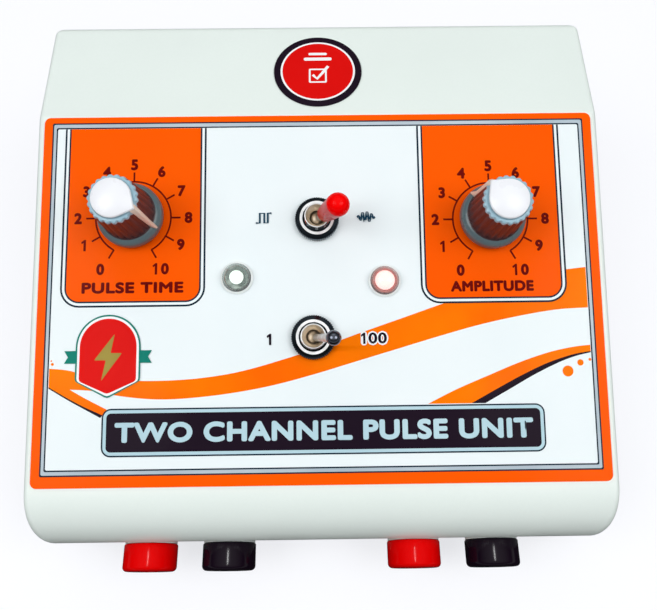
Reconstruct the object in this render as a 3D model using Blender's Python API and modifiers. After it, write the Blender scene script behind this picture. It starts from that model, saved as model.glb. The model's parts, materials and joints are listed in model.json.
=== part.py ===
"""A two-channel electrotherapy stimulator: a sloping plastic case with two dials, two toggle switches, two
indicator lamps and two pairs of 4 mm sockets. Metres, +Z up, +X to the right, +Y to the back. The origin is the
centre of the footprint, at the level of the surface that the feet stand on.
"""

import math

import bmesh
import bpy
from mathutils import Matrix, Vector

mm = 0.001

# Case
CASE_WIDTH = 140 * mm
PANEL_TILT = math.radians(16)
TOP_DEPTH = 30.5 * mm
PANEL_LENGTH = 91.5 * mm
NOSE_RADIUS = 14 * mm
FRONT_HEIGHT = 21 * mm
FRONT_LEAN = math.radians(4.5)
REAR_ROUND = 3 * mm
EDGE_ROUND = 1.5 * mm
CORNER_RADIUS = 4 * mm
WALL = 2.5 * mm
FOOT_HEIGHT = 3.5 * mm
BASE_EDGE = 4.5 * mm
LIP_TOP = 7.4 * mm
LIP_THICKNESS = 1.7 * mm
GAP = 0.3 * mm
THIN_GAP = 0.05 * mm
CUT_MARGIN = 0.02 * mm

# Front panel. Places on it are (right, up the slope) from the middle of the label.
LABEL_SIZE = (136 * mm, 90 * mm)
LABEL_THICKNESS = 0.4 * mm
LABEL_BELOW_CREASE = 0.5 * mm
DURATION_DIAL = (-45.4 * mm, 19.2 * mm)
INTENSITY_DIAL = (41.8 * mm, 18.0 * mm)
MODE_SWITCH = (-0.6 * mm, 18.2 * mm)
RATE_SWITCH = (-1.7 * mm, -10.6 * mm)
POWER_LAMP = (-20.1 * mm, 4.1 * mm)
PULSE_LAMP = (15.6 * mm, 3.0 * mm)
STICKER_RADIUS = 11.3 * mm
STICKER_BEHIND_CREASE = 13.6 * mm

# Dials. A knob angle is clockwise from straight up the panel.
DURATION_ANGLE = math.radians(117)
INTENSITY_ANGLE = math.radians(-44)
SHAFT_RADIUS = 3.0 * mm
SHAFT_TOP = 16.0 * mm
KNOB_FOOT = 2.2 * mm
KNOB_TOP = 17.6 * mm
SKIRT_RADIUS = 7.85 * mm
FLUTES = 22
BUSHING_RADIUS = 3.5 * mm
CAN_RADIUS = 8.2 * mm

# Toggle switches. The levers lean towards +X at rest.
LEVER_TILT = math.radians(20)
RATE_SWITCH_TURN = math.radians(-14)
PIVOT_HEIGHT = 0.9 * mm
LEVER_LENGTH = 15.6 * mm
MODE_LEVER_BALL = 1.45 * mm
RATE_LEVER_BALL = 1.75 * mm
LEVER_CAP_RADIUS = 2.75 * mm
TOGGLE_THREAD_RADIUS = 3.0 * mm

# Output sockets, left to right on the front wall
SOCKET_SPACING = 20 * mm
SOCKET_PAIR_OFFSET = 33.5 * mm
SOCKET_ROW_MIDDLE = -0.5 * mm
SOCKET_HEIGHT = 13 * mm
SOCKET_REACH = 6.6 * mm
SOCKET_RADIUS = 6.7 * mm
SOCKET_SEAT_RADIUS = 6.5 * mm
SOCKET_BORE_RADIUS = 2.0 * mm

# Rear wall
REAR_HEIGHT = 28 * mm
INLET_X = -38 * mm
FUSE_X = -8 * mm
POWER_SWITCH_X = 30 * mm
FUSE_CAP_REACH = 8.5 * mm
ROCKER_TILT = math.radians(9)

# Corners: the feet, the case screws and the posts that the screws bite into
POST_INSET = (11 * mm, 14 * mm)
POST_RADIUS = 4.2 * mm

SIN_TILT = math.sin(PANEL_TILT)
COS_TILT = math.cos(PANEL_TILT)
NOSE_DEPTH = NOSE_RADIUS * (1 - SIN_TILT)
NOSE_RISE = NOSE_RADIUS * COS_TILT
CASE_DEPTH = TOP_DEPTH + PANEL_LENGTH * COS_TILT + NOSE_DEPTH
CASE_HEIGHT = FRONT_HEIGHT + NOSE_RISE + PANEL_LENGTH * SIN_TILT
FRONT_Y = (SOCKET_REACH - FUSE_CAP_REACH - CASE_DEPTH) / 2
REAR_Y = FRONT_Y + CASE_DEPTH
CREASE_Y = REAR_Y - TOP_DEPTH
LABEL_TOP = LABEL_THICKNESS + THIN_GAP


# ---- building blocks ----


def clear_scene():
    for obj in list(bpy.data.objects):
        bpy.data.objects.remove(obj)


def new_collection(name, rendered):
    collection = bpy.data.collections.new(name)
    collection.hide_render = not rendered
    bpy.context.scene.collection.children.link(collection)
    return collection


def material(name, colour, roughness, metallic=0.0, alpha=1.0):
    made = bpy.data.materials.new(name)
    made.use_nodes = True
    shader = made.node_tree.nodes["Principled BSDF"]
    shader.inputs["Base Color"].default_value = (*colour, 1)
    shader.inputs["Roughness"].default_value = roughness
    shader.inputs["Metallic"].default_value = metallic
    shader.inputs["Alpha"].default_value = alpha
    return made


def frame(name, location, rotation=(0, 0, 0), parent=None):
    """An empty that pieces are placed by."""
    empty = bpy.data.objects.new(name, None)
    empty.location = location
    empty.rotation_euler = rotation
    empty.parent = parent
    model.objects.link(empty)
    return empty


def add(name, data, parent, look, location=(0, 0, 0), rotation=(0, 0, 0)):
    """A piece with its material, or a cutter where look is None."""
    obj = bpy.data.objects.new(name, data)
    obj.location = location
    obj.rotation_euler = rotation
    obj.parent = parent
    if look is None:
        obj.hide_render = True
        obj.display_type = "WIRE"
        cutters.objects.link(obj)
    else:
        data.materials.append(look)
        model.objects.link(obj)
    return obj


def mesh_from(name, build):
    """A mesh that build() fills through bmesh, shaded smooth where its faces nearly meet."""
    mesh = bpy.data.meshes.new(name)
    shape = bmesh.new()
    build(shape)
    bmesh.ops.recalc_face_normals(shape, faces=shape.faces)
    shape.to_mesh(mesh)
    shape.free()
    mesh.shade_smooth()
    mesh.set_sharp_from_angle(angle=math.radians(35))
    return mesh


def box(name, low, high, parent, look=None, **place):
    size = Vector(high) - Vector(low)
    middle = (Vector(high) + Vector(low)) / 2
    shift = Matrix.Translation(middle) @ Matrix.Diagonal((*size, 1))
    mesh = mesh_from(name, lambda shape: bmesh.ops.create_cube(shape, size=1, matrix=shift))
    return add(name, mesh, parent, look, **place)


def rod(name, radius, bottom, top, parent, look=None, sides=16, **place):
    """A cylinder, or a hexagonal bar with sides=6, along local Z."""
    shift = Matrix.Translation((0, 0, (bottom + top) / 2))

    def build(shape):
        bmesh.ops.create_cone(
            shape, cap_ends=True, segments=sides, radius1=radius, radius2=radius,
            depth=top - bottom, matrix=shift,
        )

    return add(name, mesh_from(name, build), parent, look, **place)


def lathe(name, profile, parent, look=None, steps=16, **place):
    """A turned piece. The profile is (radius, height) pairs in mm, from the top down its outer side. It is closed
    up its inner side unless both its ends lie on the axis."""
    mesh = bpy.data.meshes.new(name)
    points = [(radius * mm, 0, height * mm) for radius, height in profile]
    edges = [(i, i + 1) for i in range(len(points) - 1)]
    if profile[0][0] > 0:
        edges.append((len(points) - 1, 0))
    mesh.from_pydata(points, edges, [])
    obj = add(name, mesh, parent, look, **place)
    screw = obj.modifiers.new("Turn", "SCREW")
    screw.steps = steps
    screw.render_steps = steps
    screw.use_merge_vertices = True
    screw.merge_threshold = 0.00001
    screw.use_smooth_shade = False
    return obj


def arc(centre, radius, start, end, count):
    """Points on an arc, angles in degrees anticlockwise from the first axis."""
    angles = [math.radians(start + (end - start) * i / count) for i in range(count + 1)]
    return [(centre[0] + radius * math.cos(a), centre[1] + radius * math.sin(a)) for a in angles]


def round_rectangle(width, height, radius, count=6):
    x, y = width / 2 - radius, height / 2 - radius
    return (
        arc((x, y), radius, 0, 90, count)
        + arc((-x, y), radius, 90, 180, count)
        + arc((-x, -y), radius, 180, 270, count)
        + arc((x, -y), radius, 270, 360, count)
    )


def plate(name, outline, thickness, parent, look=None, rounding=0, **place):
    """A flat outline with its thickness along local Z, centred on its place: a filled curve made a mesh. The edges
    of its two faces are rounded by the rounding radius."""
    curve = bpy.data.curves.new(name, "CURVE")
    curve.dimensions = "2D"
    curve.fill_mode = "BOTH"
    curve.extrude = thickness / 2 - rounding
    curve.bevel_depth = rounding
    curve.bevel_resolution = 1
    curve.offset = -rounding
    spline = curve.splines.new("POLY")
    spline.points.add(len(outline) - 1)
    for point, (x, y) in zip(spline.points, outline):
        point.co = (x, y, 0, 1)
    spline.use_cyclic_u = True
    guide = bpy.data.objects.new(name + "_outline", curve)
    bpy.context.scene.collection.objects.link(guide)
    graph = bpy.context.evaluated_depsgraph_get()
    flat = bpy.data.meshes.new_from_object(guide.evaluated_get(graph))
    bpy.data.objects.remove(guide)

    def build(shape):
        shape.from_mesh(flat)
        bmesh.ops.remove_doubles(shape, verts=shape.verts, dist=0.000001)

    mesh = mesh_from(name, build)
    bpy.data.meshes.remove(flat)
    return add(name, mesh, parent, look, **place)


def combine(target, operation, *others):
    """One Boolean of the target with all the others together."""
    group = bpy.data.collections.new(f"{target.name}_{operation.lower()}")
    for other in others:
        group.objects.link(other)
    boolean = target.modifiers.new(operation.title(), "BOOLEAN")
    boolean.operation = operation
    boolean.operand_type = "COLLECTION"
    boolean.collection = group
    return target


def cut(target, *others):
    return combine(target, "DIFFERENCE", *others)


def join(target, *others):
    return combine(target, "UNION", *others)


def keep_inside(target, *others):
    return combine(target, "INTERSECT", *others)


# ---- the case ----


def front_wall(height, inset=0):
    """Y of the front wall at a height. It runs back from the nose towards its foot."""
    radius = NOSE_RADIUS - inset
    top_y = NOSE_RADIUS - radius * math.cos(FRONT_LEAN)
    top_z = FRONT_HEIGHT - radius * math.sin(FRONT_LEAN)
    return top_y + (top_z - height) * math.tan(FRONT_LEAN)


def side_profile(inset):
    """The case's outline seen from the right, drawn in by inset: (y, z) from the nose, and from the floor."""
    nose_middle = (NOSE_RADIUS, FRONT_HEIGHT)
    start, end = 180 + math.degrees(FRONT_LEAN), 90 + math.degrees(PANEL_TILT)
    nose = arc(nose_middle, NOSE_RADIUS - inset, start, end, 8)
    crease = (CASE_DEPTH - TOP_DEPTH + inset * math.tan(PANEL_TILT / 2), CASE_HEIGHT - inset)
    rear_radius = max(REAR_ROUND - inset, 0.5 * mm)
    rear_middle = (CASE_DEPTH - inset - rear_radius, CASE_HEIGHT - inset - rear_radius)
    rear = arc(rear_middle, rear_radius, 90, 0, 3)
    return [(front_wall(inset, inset), inset), *nose, crease, *rear, (CASE_DEPTH - inset, inset)]


def case_plan(name, inset, bottom, top, front_setback=0):
    """The case's footprint as a prism, with round corners, drawn in by inset, and by more at the front."""
    radius = max(CORNER_RADIUS - inset, 0.5 * mm)
    outline = round_rectangle(CASE_WIDTH - 2 * inset, CASE_DEPTH - 2 * inset - front_setback, radius)
    middle = (0, (CASE_DEPTH + front_setback) / 2, (bottom + top) / 2)
    return plate(name, outline, top - bottom, case_frame, location=middle)


def case_block(name, inset, look=None, rounding=0):
    """The whole case as a solid block, drawn in by inset, with its upright corners rounded."""
    width = CASE_WIDTH - 2 * inset
    upright = (math.radians(90), 0, math.radians(90))
    block = plate(name, side_profile(inset), width, case_frame, look, rounding, rotation=upright)
    footprint = case_plan(name + "_footprint", inset - CUT_MARGIN, -5 * mm, CASE_HEIGHT + 5 * mm)
    return keep_inside(block, footprint)


def corners():
    """(name, x, y) of the four corner posts, in the case frame."""
    x = CASE_WIDTH / 2 - POST_INSET[0]
    rows = (("front", POST_INSET[1]), ("rear", CASE_DEPTH - POST_INSET[1]))
    return [(f"{row}_{side}", sign * x, y) for row, y in rows for side, sign in (("left", -1), ("right", 1))]


def panel_holes():
    holes = [
        (DURATION_DIAL, BUSHING_RADIUS + 0.2 * mm),
        (INTENSITY_DIAL, BUSHING_RADIUS + 0.2 * mm),
        (MODE_SWITCH, TOGGLE_THREAD_RADIUS + 0.2 * mm),
        (RATE_SWITCH, TOGGLE_THREAD_RADIUS + 0.2 * mm),
        (POWER_LAMP, 3.2 * mm),
        (PULSE_LAMP, 3.2 * mm),
    ]
    return [
        rod(f"panel_hole_{i}", radius, -6 * mm, 3 * mm, panel_frame, location=(*place, 0))
        for i, (place, radius) in enumerate(holes)
    ]


def top_cover(holes):
    """The shell above the seam, with a post in each corner that reaches down to the floor, and flat seats for
    the sockets on the leaning front wall."""
    cover = case_block("top_cover", 0, ivory, EDGE_ROUND)
    beyond = 10 * mm
    trim_low = (-CASE_WIDTH, -beyond, -beyond)
    trim_high = (CASE_WIDTH, CASE_DEPTH + beyond, BASE_EDGE + GAP)
    cut(cover, case_block("case_hollow", WALL), box("cover_trim", trim_low, trim_high, case_frame))
    post_bottom, post_top = WALL + GAP, CASE_HEIGHT + beyond
    posts = [
        rod(f"post_{name}", POST_RADIUS, post_bottom, post_top, case_frame, location=(x, y, 0))
        for name, x, y in corners()
    ]
    join(cover, *[keep_inside(post, post_limit) for post in posts])
    pilots = [
        rod(f"pilot_{name}", 1.6 * mm, 0, 14 * mm, case_frame, sides=16, location=(x, y, 0))
        for name, x, y in corners()
    ]
    socket_seats = [
        rod(f"socket_seat_{i}", SOCKET_SEAT_RADIUS, -2 * mm, 0, front_frame, sides=32, location=(x, 0, 0))
        for i, x in enumerate(socket_places())
    ]
    join(cover, *socket_seats)
    nut_seats = [
        rod(f"nut_seat_{i}", 6.2 * mm, -6 * mm, -2.7 * mm, front_frame, sides=24, location=(x, 0, 0))
        for i, x in enumerate(socket_places())
    ]
    socket_holes = [
        rod(f"socket_hole_{i}", 4.3 * mm, -4 * mm, 4 * mm, front_frame, location=(x, 0, 0))
        for i, x in enumerate(socket_places())
    ]
    cut(
        cover, *pilots, *nut_seats, *socket_holes, *holes,
        box("inlet_hole", (-10.4 * mm, -6.4 * mm, -4 * mm), (10.4 * mm, 6.4 * mm, 4 * mm), inlet_frame),
        rod("fuse_hole", 6.3 * mm, -4 * mm, 4 * mm, fuse_frame),
        box("switch_hole", (-6.7 * mm, -9.7 * mm, -4 * mm), (6.7 * mm, 9.7 * mm, 4 * mm), power_frame),
    )


def base_tray():
    """The floor, with a lip that stands inside the cover, four stand-offs for the board and cooling slots."""
    tray = case_block("base_tray", 0, ivory, EDGE_ROUND)
    beyond = 10 * mm
    above = CASE_HEIGHT + beyond
    trim_low = (-CASE_WIDTH, -beyond, BASE_EDGE)
    trim_high = (CASE_WIDTH, CASE_DEPTH + beyond, above)
    cut(tray, box("tray_trim", trim_low, trim_high, case_frame))
    setback = front_wall(BASE_EDGE, WALL) - WALL
    join(tray, case_plan("lip", WALL + GAP, 1 * mm, LIP_TOP, setback))
    hollow = case_plan("tray_hollow", WALL + GAP + LIP_THICKNESS, WALL, above, setback)
    cut(hollow, *[
        rod(f"stand_off_{i}", 3 * mm, -2 * mm, 7.2 * mm, case_frame, sides=16, location=(x, y, 0))
        for i, (x, y) in enumerate(board_posts())
    ])
    fixing_holes = [
        rod(f"stand_off_hole_{i}", 1.1 * mm, 3.2 * mm, 9 * mm, case_frame, sides=12, location=(x, y, 0))
        for i, (x, y) in enumerate(board_posts())
    ]
    screw_holes = [
        rod(f"screw_hole_{name}", 1.9 * mm, -3 * mm, 5 * mm, case_frame, sides=16, location=(x, y, 0))
        for name, x, y in corners()
    ]
    slots = []
    for i in range(5):
        y = CASE_DEPTH - (24 + 5 * i) * mm
        slots.append(box(f"slot_{i}", (12 * mm, y, -3 * mm), (46 * mm, y + 2 * mm, 5 * mm), case_frame))
    cut(tray, hollow, *fixing_holes, *screw_holes, *slots)


def front_label(holes):
    outline = round_rectangle(*LABEL_SIZE, 1.5 * mm, 3)
    middle = (0, 0, THIN_GAP + LABEL_THICKNESS / 2)
    label = plate("front_label", outline, LABEL_THICKNESS, panel_frame, label_orange, location=middle)
    cut(label, *holes)


def round_sticker():
    thickness = 0.3 * mm
    place = (0, CASE_DEPTH - TOP_DEPTH + STICKER_BEHIND_CREASE, CASE_HEIGHT + THIN_GAP)
    rod("round_sticker", STICKER_RADIUS, 0, thickness, case_frame, sticker_red, sides=40, location=place)


def foot_and_screw(name, x, y):
    """A rubber foot, and the case screw whose head sits up inside it."""
    ground = frame(f"foot_{name}", (x, y, -FOOT_HEIGHT), parent=case_frame)
    foot = [(6.4, 3.45), (7.0, 0.6), (6.4, 0), (3.8, 0), (3.8, 2.0), (1.9, 2.0), (1.9, 3.45)]
    lathe(f"rubber_foot_{name}", foot, ground, rubber)
    screw = [(0, 14), (1.45, 12.4), (1.45, 1.9), (2.9, 1.9), (2.9, 0.9), (2.3, 0.4), (0, 0.4)]
    lathe(f"case_screw_{name}", screw, ground, steel, steps=12)


# ---- the dials ----


def fluted_cone(name, bottom, top, bottom_radius, top_radius, groove, parent, look):
    """A tapered grip whose outline has FLUTES narrow grooves."""
    outline = []
    for i in range(FLUTES):
        for step, depth in ((-5, 0), (5, 0), (8.2, groove)):
            outline.append((math.radians(i * 360 / FLUTES + step), bottom_radius - depth))

    def build(shape):
        ring = [shape.verts.new((r * math.cos(a), r * math.sin(a), bottom)) for a, r in outline]
        made = bmesh.ops.extrude_face_region(shape, geom=[shape.faces.new(ring)])
        raised = [v for v in made["geom"] if isinstance(v, bmesh.types.BMVert)]
        scale = top_radius / bottom_radius
        for vert in raised:
            vert.co = (vert.co.x * scale, vert.co.y * scale, top)

    return add(name, mesh_from(name, build), parent, look)


def tongue_outline(clear):
    """The pointer seen from the side, as (outwards, up): it caps the knob's rim and runs down to the skirt."""
    low, inner = (4.6 - clear) * mm, (5.2 - clear) * mm
    return [
        (3.0 * mm, KNOB_TOP + 0.3 * mm - clear * mm),
        (inner, KNOB_TOP - 0.6 * mm),
        (6.2 * mm - clear * mm, low),
        (7.7 * mm + clear * mm, low),
        (6.0 * mm + clear * mm, KNOB_TOP + 0.9 * mm + clear * mm),
        (3.0 * mm, KNOB_TOP + 0.9 * mm + clear * mm),
    ]


def teardrop(radius, tip):
    """A circle with one corner drawn out to the tip, along +Y."""
    touch = math.degrees(math.acos(radius / tip))
    return [*arc((0, 0), radius, 90 + touch, 450 - touch, 20), (0, tip)]


def dial(name, place, angle):
    """A potentiometer clamped through the panel, with its knob on its shaft. The pointer is along local +Y."""
    seat = frame(f"{name}_seat", (*place, 0), parent=panel_frame)
    turn = frame(f"{name}_turn", (*place, 0), (0, 0, -angle), panel_frame)

    can = rod(f"{name}_pot_can", CAN_RADIUS, -12 * mm, -3.4 * mm, seat, bright_metal, sides=24)
    for i in (-1, 0, 1):
        low = ((5 * i - 0.8) * mm, -14 * mm, -9 * mm)
        high = ((5 * i + 0.8) * mm, -7 * mm, -8.4 * mm)
        join(can, box(f"{name}_terminal_{i}", low, high, seat))
    cut(can, rod(f"{name}_can_bore", SHAFT_RADIUS + 0.12 * mm, -8.5 * mm, 0, seat))

    tube, bore = BUSHING_RADIUS / mm, SHAFT_RADIUS / mm + 0.12
    sleeve = [(tube, 3.1), (tube, -2.55), (7.4, -2.55), (7.4, -3.1), (bore, -3.1), (bore, 3.1)]
    lathe(f"{name}_pot_bushing", sleeve, seat, bright_metal)

    rod(f"{name}_pot_shaft", SHAFT_RADIUS, -8.2 * mm, SHAFT_TOP, turn, bright_metal)

    nut = rod(f"{name}_pot_nut", 5.77 * mm, LABEL_TOP + 0.05 * mm, 2.6 * mm, seat, bright_metal, sides=6)
    cut(nut, rod(f"{name}_nut_bore", BUSHING_RADIUS + 0.1 * mm, 0, 4 * mm, seat))

    foot, skirt = KNOB_FOOT / mm, SKIRT_RADIUS / mm
    profile = [
        (0, 5.4), (6.2, 5.4), (7.2, 5.0), (skirt, 4.2), (skirt, foot),
        (6.3, foot), (6.3, 3.4), (0, 3.4),
    ]
    knob = lathe(f"{name}_knob", profile, turn, knob_grey, steps=32)
    join(knob, fluted_cone(f"{name}_grip", 4 * mm, KNOB_TOP, 6.45 * mm, 5.6 * mm, 0.5 * mm, turn, None))
    cut(knob, rod(f"{name}_knob_bore", SHAFT_RADIUS + 0.1 * mm, 0, SHAFT_TOP + 0.3 * mm, turn))
    upright = (math.radians(90), 0, math.radians(90))
    cut(knob, plate(f"{name}_groove", tongue_outline(0.25), 1.9 * mm, turn, rotation=upright))

    level = KNOB_TOP + 0.65 * mm
    cap = rod(f"{name}_knob_cap", 5.2 * mm, KNOB_TOP + 0.2 * mm, level, turn, cap_white, sides=32)
    drop = plate(f"{name}_drop", teardrop(4.4 * mm, 5.6 * mm), 0.9 * mm, turn, location=(0, 0, level))
    join(cap, drop, plate(f"{name}_tongue", tongue_outline(0), 1.4 * mm, turn, rotation=upright))


# ---- the toggle switches ----


def toggle(name, place, twist, ball_radius):
    """A miniature toggle switch clamped through the panel. Its lever swings in the local XZ plane."""
    seat = frame(f"{name}_seat", (*place, 0), (0, 0, twist), panel_frame)
    pivot = frame(f"{name}_pivot", (0, 0, PIVOT_HEIGHT), (0, LEVER_TILT, 0), seat)

    low, high = (-6.5 * mm, -4 * mm, -13.5 * mm), (6.5 * mm, 4 * mm, -4.2 * mm)
    housing = box(f"{name}_housing", low, high, seat, switch_blue)
    for i in (-1, 0, 1):
        tab_low = ((4.7 * i - 0.4) * mm, -1 * mm, -17.5 * mm)
        tab_high = ((4.7 * i + 0.4) * mm, 1 * mm, -13 * mm)
        join(housing, box(f"{name}_tab_{i}", tab_low, tab_high, seat))
    pocket = (-3.6 * mm, -1.6 * mm, -6.4 * mm), (3.6 * mm, 1.6 * mm, -3 * mm)
    cut(housing, box(f"{name}_pocket", *pocket, seat))

    thread = TOGGLE_THREAD_RADIUS / mm
    bore = 2.35
    tube = [
        (2.85, 5.2), (thread, 5.05), (thread, -3.2), (bore, -3.2), (bore, 2.2), (1.75, 2.6), (2.55, 5.2),
    ]
    bushing = lathe(f"{name}_bushing", tube, seat, chrome)
    flange = box(f"{name}_flange", (-6.4 * mm, -3.9 * mm, -3.9 * mm), (6.4 * mm, 3.9 * mm, -2.8 * mm), seat)
    cut(flange, rod(f"{name}_flange_bore", bore * mm, -5 * mm, -2 * mm, seat))
    join(bushing, flange)

    nut = [(4.3, 2.9), (5.35, 2.1), (5.35, 0.5), (thread + 0.1, 0.5), (thread + 0.1, 2.9)]
    lathe(f"{name}_nut", nut, seat, chrome)

    tip, end_radius = LEVER_LENGTH / mm, ball_radius / mm
    ball = arc((0, 0), 2.05, 60, -60, 6)
    end = arc((0, tip - end_radius), end_radius, 60, 0, 2)
    bat = [(0, tip), *end, (1.0, tip - 4), (0.85, 2.2), *ball, (0.7, -2.0), (0.7, -5.0), (0, -5.2)]
    lathe(f"{name}_lever", bat, pivot, chrome)
    return pivot


def lever_cap(pivot):
    """The red sleeve pushed over the upper lever."""
    tip = LEVER_LENGTH / mm + 1.2
    radius = LEVER_CAP_RADIUS / mm
    dome = arc((0, tip - radius), radius, 72, 0, 4)
    inside = [(0, tip - 1.0), (1.6, tip - 1.0), (1.6, 5.6)]
    outside = [(1.9, 5.6), *reversed(dome), (0, tip)]
    lathe("mode_toggle_cap", list(reversed(inside + outside)), pivot, red_plastic)


# ---- the indicator lamps ----


def lamp(name, place, look):
    seat = frame(f"{name}_seat", (*place, 0), parent=panel_frame)
    lens = [
        (0, 4.4), (1.6, 4.05), (2.8, 3.1), (3.4, 1.9), (3.5, 1.1), (4.0, 1.0), (4.0, 0.55), (3.0, 0.55),
        (3.0, -5.5), (2.65, -5.5), (2.65, 1.6), (2.1, 2.7), (1.1, 3.4), (0, 3.6),
    ]
    lathe(f"{name}_lens", lens, seat, look)
    led = [(0, 2.6), (1.2, 2.3), (2.1, 1.4), (2.5, 0.2), (2.5, -6.0), (2.9, -6.0), (2.9, -7.0), (0, -7.0)]
    body = lathe(f"{name}_led", led, seat, look, steps=12)
    for i in (-1, 1):
        low = ((1.27 * i - 0.25) * mm, -0.25 * mm, -15 * mm)
        high = ((1.27 * i + 0.25) * mm, 0.25 * mm, -6.5 * mm)
        join(body, box(f"{name}_lead_{i}", low, high, seat))


# ---- the output sockets ----


def socket_places():
    """X of each socket, left to right."""
    half = SOCKET_SPACING / 2
    return [SOCKET_ROW_MIDDLE + side * SOCKET_PAIR_OFFSET + step for side in (-1, 1) for step in (-half, half)]


def socket(name, x, look):
    """A 4 mm panel socket: a plastic head and collar, the metal barrel inside it, and the nut behind the wall."""
    seat = frame(f"{name}_seat", (x, 0, 0), parent=front_frame)
    reach, radius, bore = SOCKET_REACH / mm, SOCKET_RADIUS / mm, SOCKET_BORE_RADIUS / mm
    head = [
        (radius - 1.2, reach), (radius - 0.35, reach - 0.35), (radius, reach - 1.2), (radius, 0.1),
        (4.1, 0.1), (4.1, -2.4), (3.15, -2.4), (3.15, reach - 1.5), (2.3, reach - 1.5), (2.3, reach),
    ]
    lathe(f"{name}_head", head, seat, look, steps=20)
    barrel = [
        (0, -11), (bore, -11), (bore, reach - 1.8), (3.0, reach - 1.8), (3.0, -13.5), (1.6, -13.5),
        (1.6, -17), (0, -17),
    ]
    lathe(f"{name}_barrel", barrel, seat, brass)
    nut = rod(f"{name}_nut", 5.2 * mm, -5.4 * mm, -2.9 * mm, seat, brass, sides=6)
    cut(nut, rod(f"{name}_nut_bore", 3.1 * mm, -7 * mm, 0, seat))


# ---- the rear wall ----


def mains_inlet():
    """A two-pin appliance inlet. The mains lead plugs in here."""
    flange = plate("mains_inlet", round_rectangle(26 * mm, 16 * mm, 2.5 * mm, 4), 2 * mm, inlet_frame,
                   black_plastic, location=(0, 0, 1.1 * mm))
    join(flange, box("inlet_body", (-10 * mm, -6 * mm, -14 * mm), (10 * mm, 6 * mm, 1 * mm), inlet_frame))
    recess = round_rectangle(16 * mm, 9 * mm, 4.49 * mm, 6)
    cut(flange, plate("inlet_recess", recess, 14 * mm, inlet_frame, location=(0, 0, -4.5 * mm)))
    for i in (-1, 1):
        pin = rod(f"inlet_pin_{i}", 1.2 * mm, -12.5 * mm, -0.5 * mm, inlet_frame, sides=12,
                  location=(4.3 * i * mm, 0, 0))
        tab_low = ((5.4 * i - 1.4) * mm, -0.4 * mm, -19 * mm)
        tab_high = ((5.4 * i + 1.4) * mm, 0.4 * mm, -13 * mm)
        join(flange, pin, box(f"inlet_tab_{i}", tab_low, tab_high, inlet_frame))


def fuse():
    """A panel fuse holder. The cap turns a little and pulls out with the fuse."""
    reach = FUSE_CAP_REACH / mm
    holder = [
        (0, -19.2), (3.2, -19.2), (3.2, -2.0), (4.9, -2.0), (4.9, 2.0), (7.6, 2.0), (8.0, 1.6), (8.0, 0.1),
        (6.05, 0.1), (6.05, -21), (2.2, -21), (2.2, -23.5), (0, -23.5),
    ]
    lathe("fuse_holder", holder, fuse_frame, black_plastic, steps=20)
    cap = [
        (0, reach), (5.2, reach), (5.7, reach - 0.5), (5.7, 2.4), (4.6, 2.4), (4.6, -1.7), (2.8, -1.7),
        (2.8, 1.5), (0, 1.5),
    ]
    shell = lathe("fuse_cap", cap, fuse_frame, black_plastic, steps=20)
    low, high = (-4 * mm, -0.6 * mm, FUSE_CAP_REACH - 1.2 * mm), (4 * mm, 0.6 * mm, FUSE_CAP_REACH + 1 * mm)
    cut(shell, box("fuse_cap_slot", low, high, fuse_frame))
    glass = [
        (0, 1.2), (2.6, 1.2), (2.6, -4.6), (2.4, -4.6), (2.4, -13), (2.6, -13), (2.6, -18.8), (0, -18.8),
    ]
    lathe("fuse", glass, fuse_frame, bright_metal, steps=12)


def power_switch():
    """A rocker switch, tall way up. The rocker turns about local X, 2 mm inside the bezel."""
    bezel = plate("power_switch_housing", round_rectangle(15 * mm, 21 * mm, 1 * mm, 2), 1.8 * mm, power_frame,
                  black_plastic, location=(0, 0, 1.0 * mm))
    join(bezel, box("switch_body", (-6.4 * mm, -9.4 * mm, -13 * mm), (6.4 * mm, 9.4 * mm, 1 * mm), power_frame))
    for i in (-1, 1):
        low = (-2.4 * mm, (5 * i - 0.4) * mm, -19 * mm)
        high = (2.4 * mm, (5 * i + 0.4) * mm, -12 * mm)
        join(bezel, box(f"switch_tab_{i}", low, high, power_frame))
    cut(bezel, box("switch_well", (-5.6 * mm, -8.4 * mm, -7.5 * mm), (5.6 * mm, 8.4 * mm, 5 * mm), power_frame))

    pivot = frame("rocker_pivot", (0, 0, -1.5 * mm), (ROCKER_TILT, 0, 0), power_frame)
    side = [(-7.3 * mm, 3.6 * mm), (-7.0 * mm, -1.5 * mm), (-3 * mm, -3.5 * mm)]
    mirrored = [(-y, z) for y, z in reversed(side)]
    dip = [(6.2 * mm, 4.4 * mm), (3 * mm, 3.7 * mm), (0, 3.4 * mm), (-3 * mm, 3.7 * mm), (-6.2 * mm, 4.4 * mm)]
    upright = (math.radians(90), 0, math.radians(90))
    plate("power_switch_rocker", side + mirrored + dip, 10.6 * mm, pivot, black_plastic, rotation=upright)


# ---- inside the case ----


def board_posts():
    """(x, y) of the board's fixings, in the case frame."""
    return [(x * mm, y * mm) for x in (-32, 48) for y in (25, 79)]


def circuit_board():
    bottom, top = 7.5 * mm, 9.1 * mm
    board = box("circuit_board", (-36 * mm, 21 * mm, bottom), (52 * mm, 83 * mm, top), case_frame, board_green)
    for i, (x, y) in enumerate(board_posts()):
        hole = rod(f"board_hole_{i}", 1.6 * mm, 5 * mm, 12 * mm, case_frame, sides=12, location=(x, y, 0))
        cut(board, hole)
    place = (36 * mm, 66 * mm, top + GAP)
    rod("smoothing_capacitor", 5 * mm, 0, 16 * mm, case_frame, capacitor_blue, location=place)
    low, high = (-26 * mm, 34 * mm, top + GAP), (-7 * mm, 50 * mm, top + 15 * mm)
    box("output_transformer", low, high, case_frame, tape_yellow)


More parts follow.
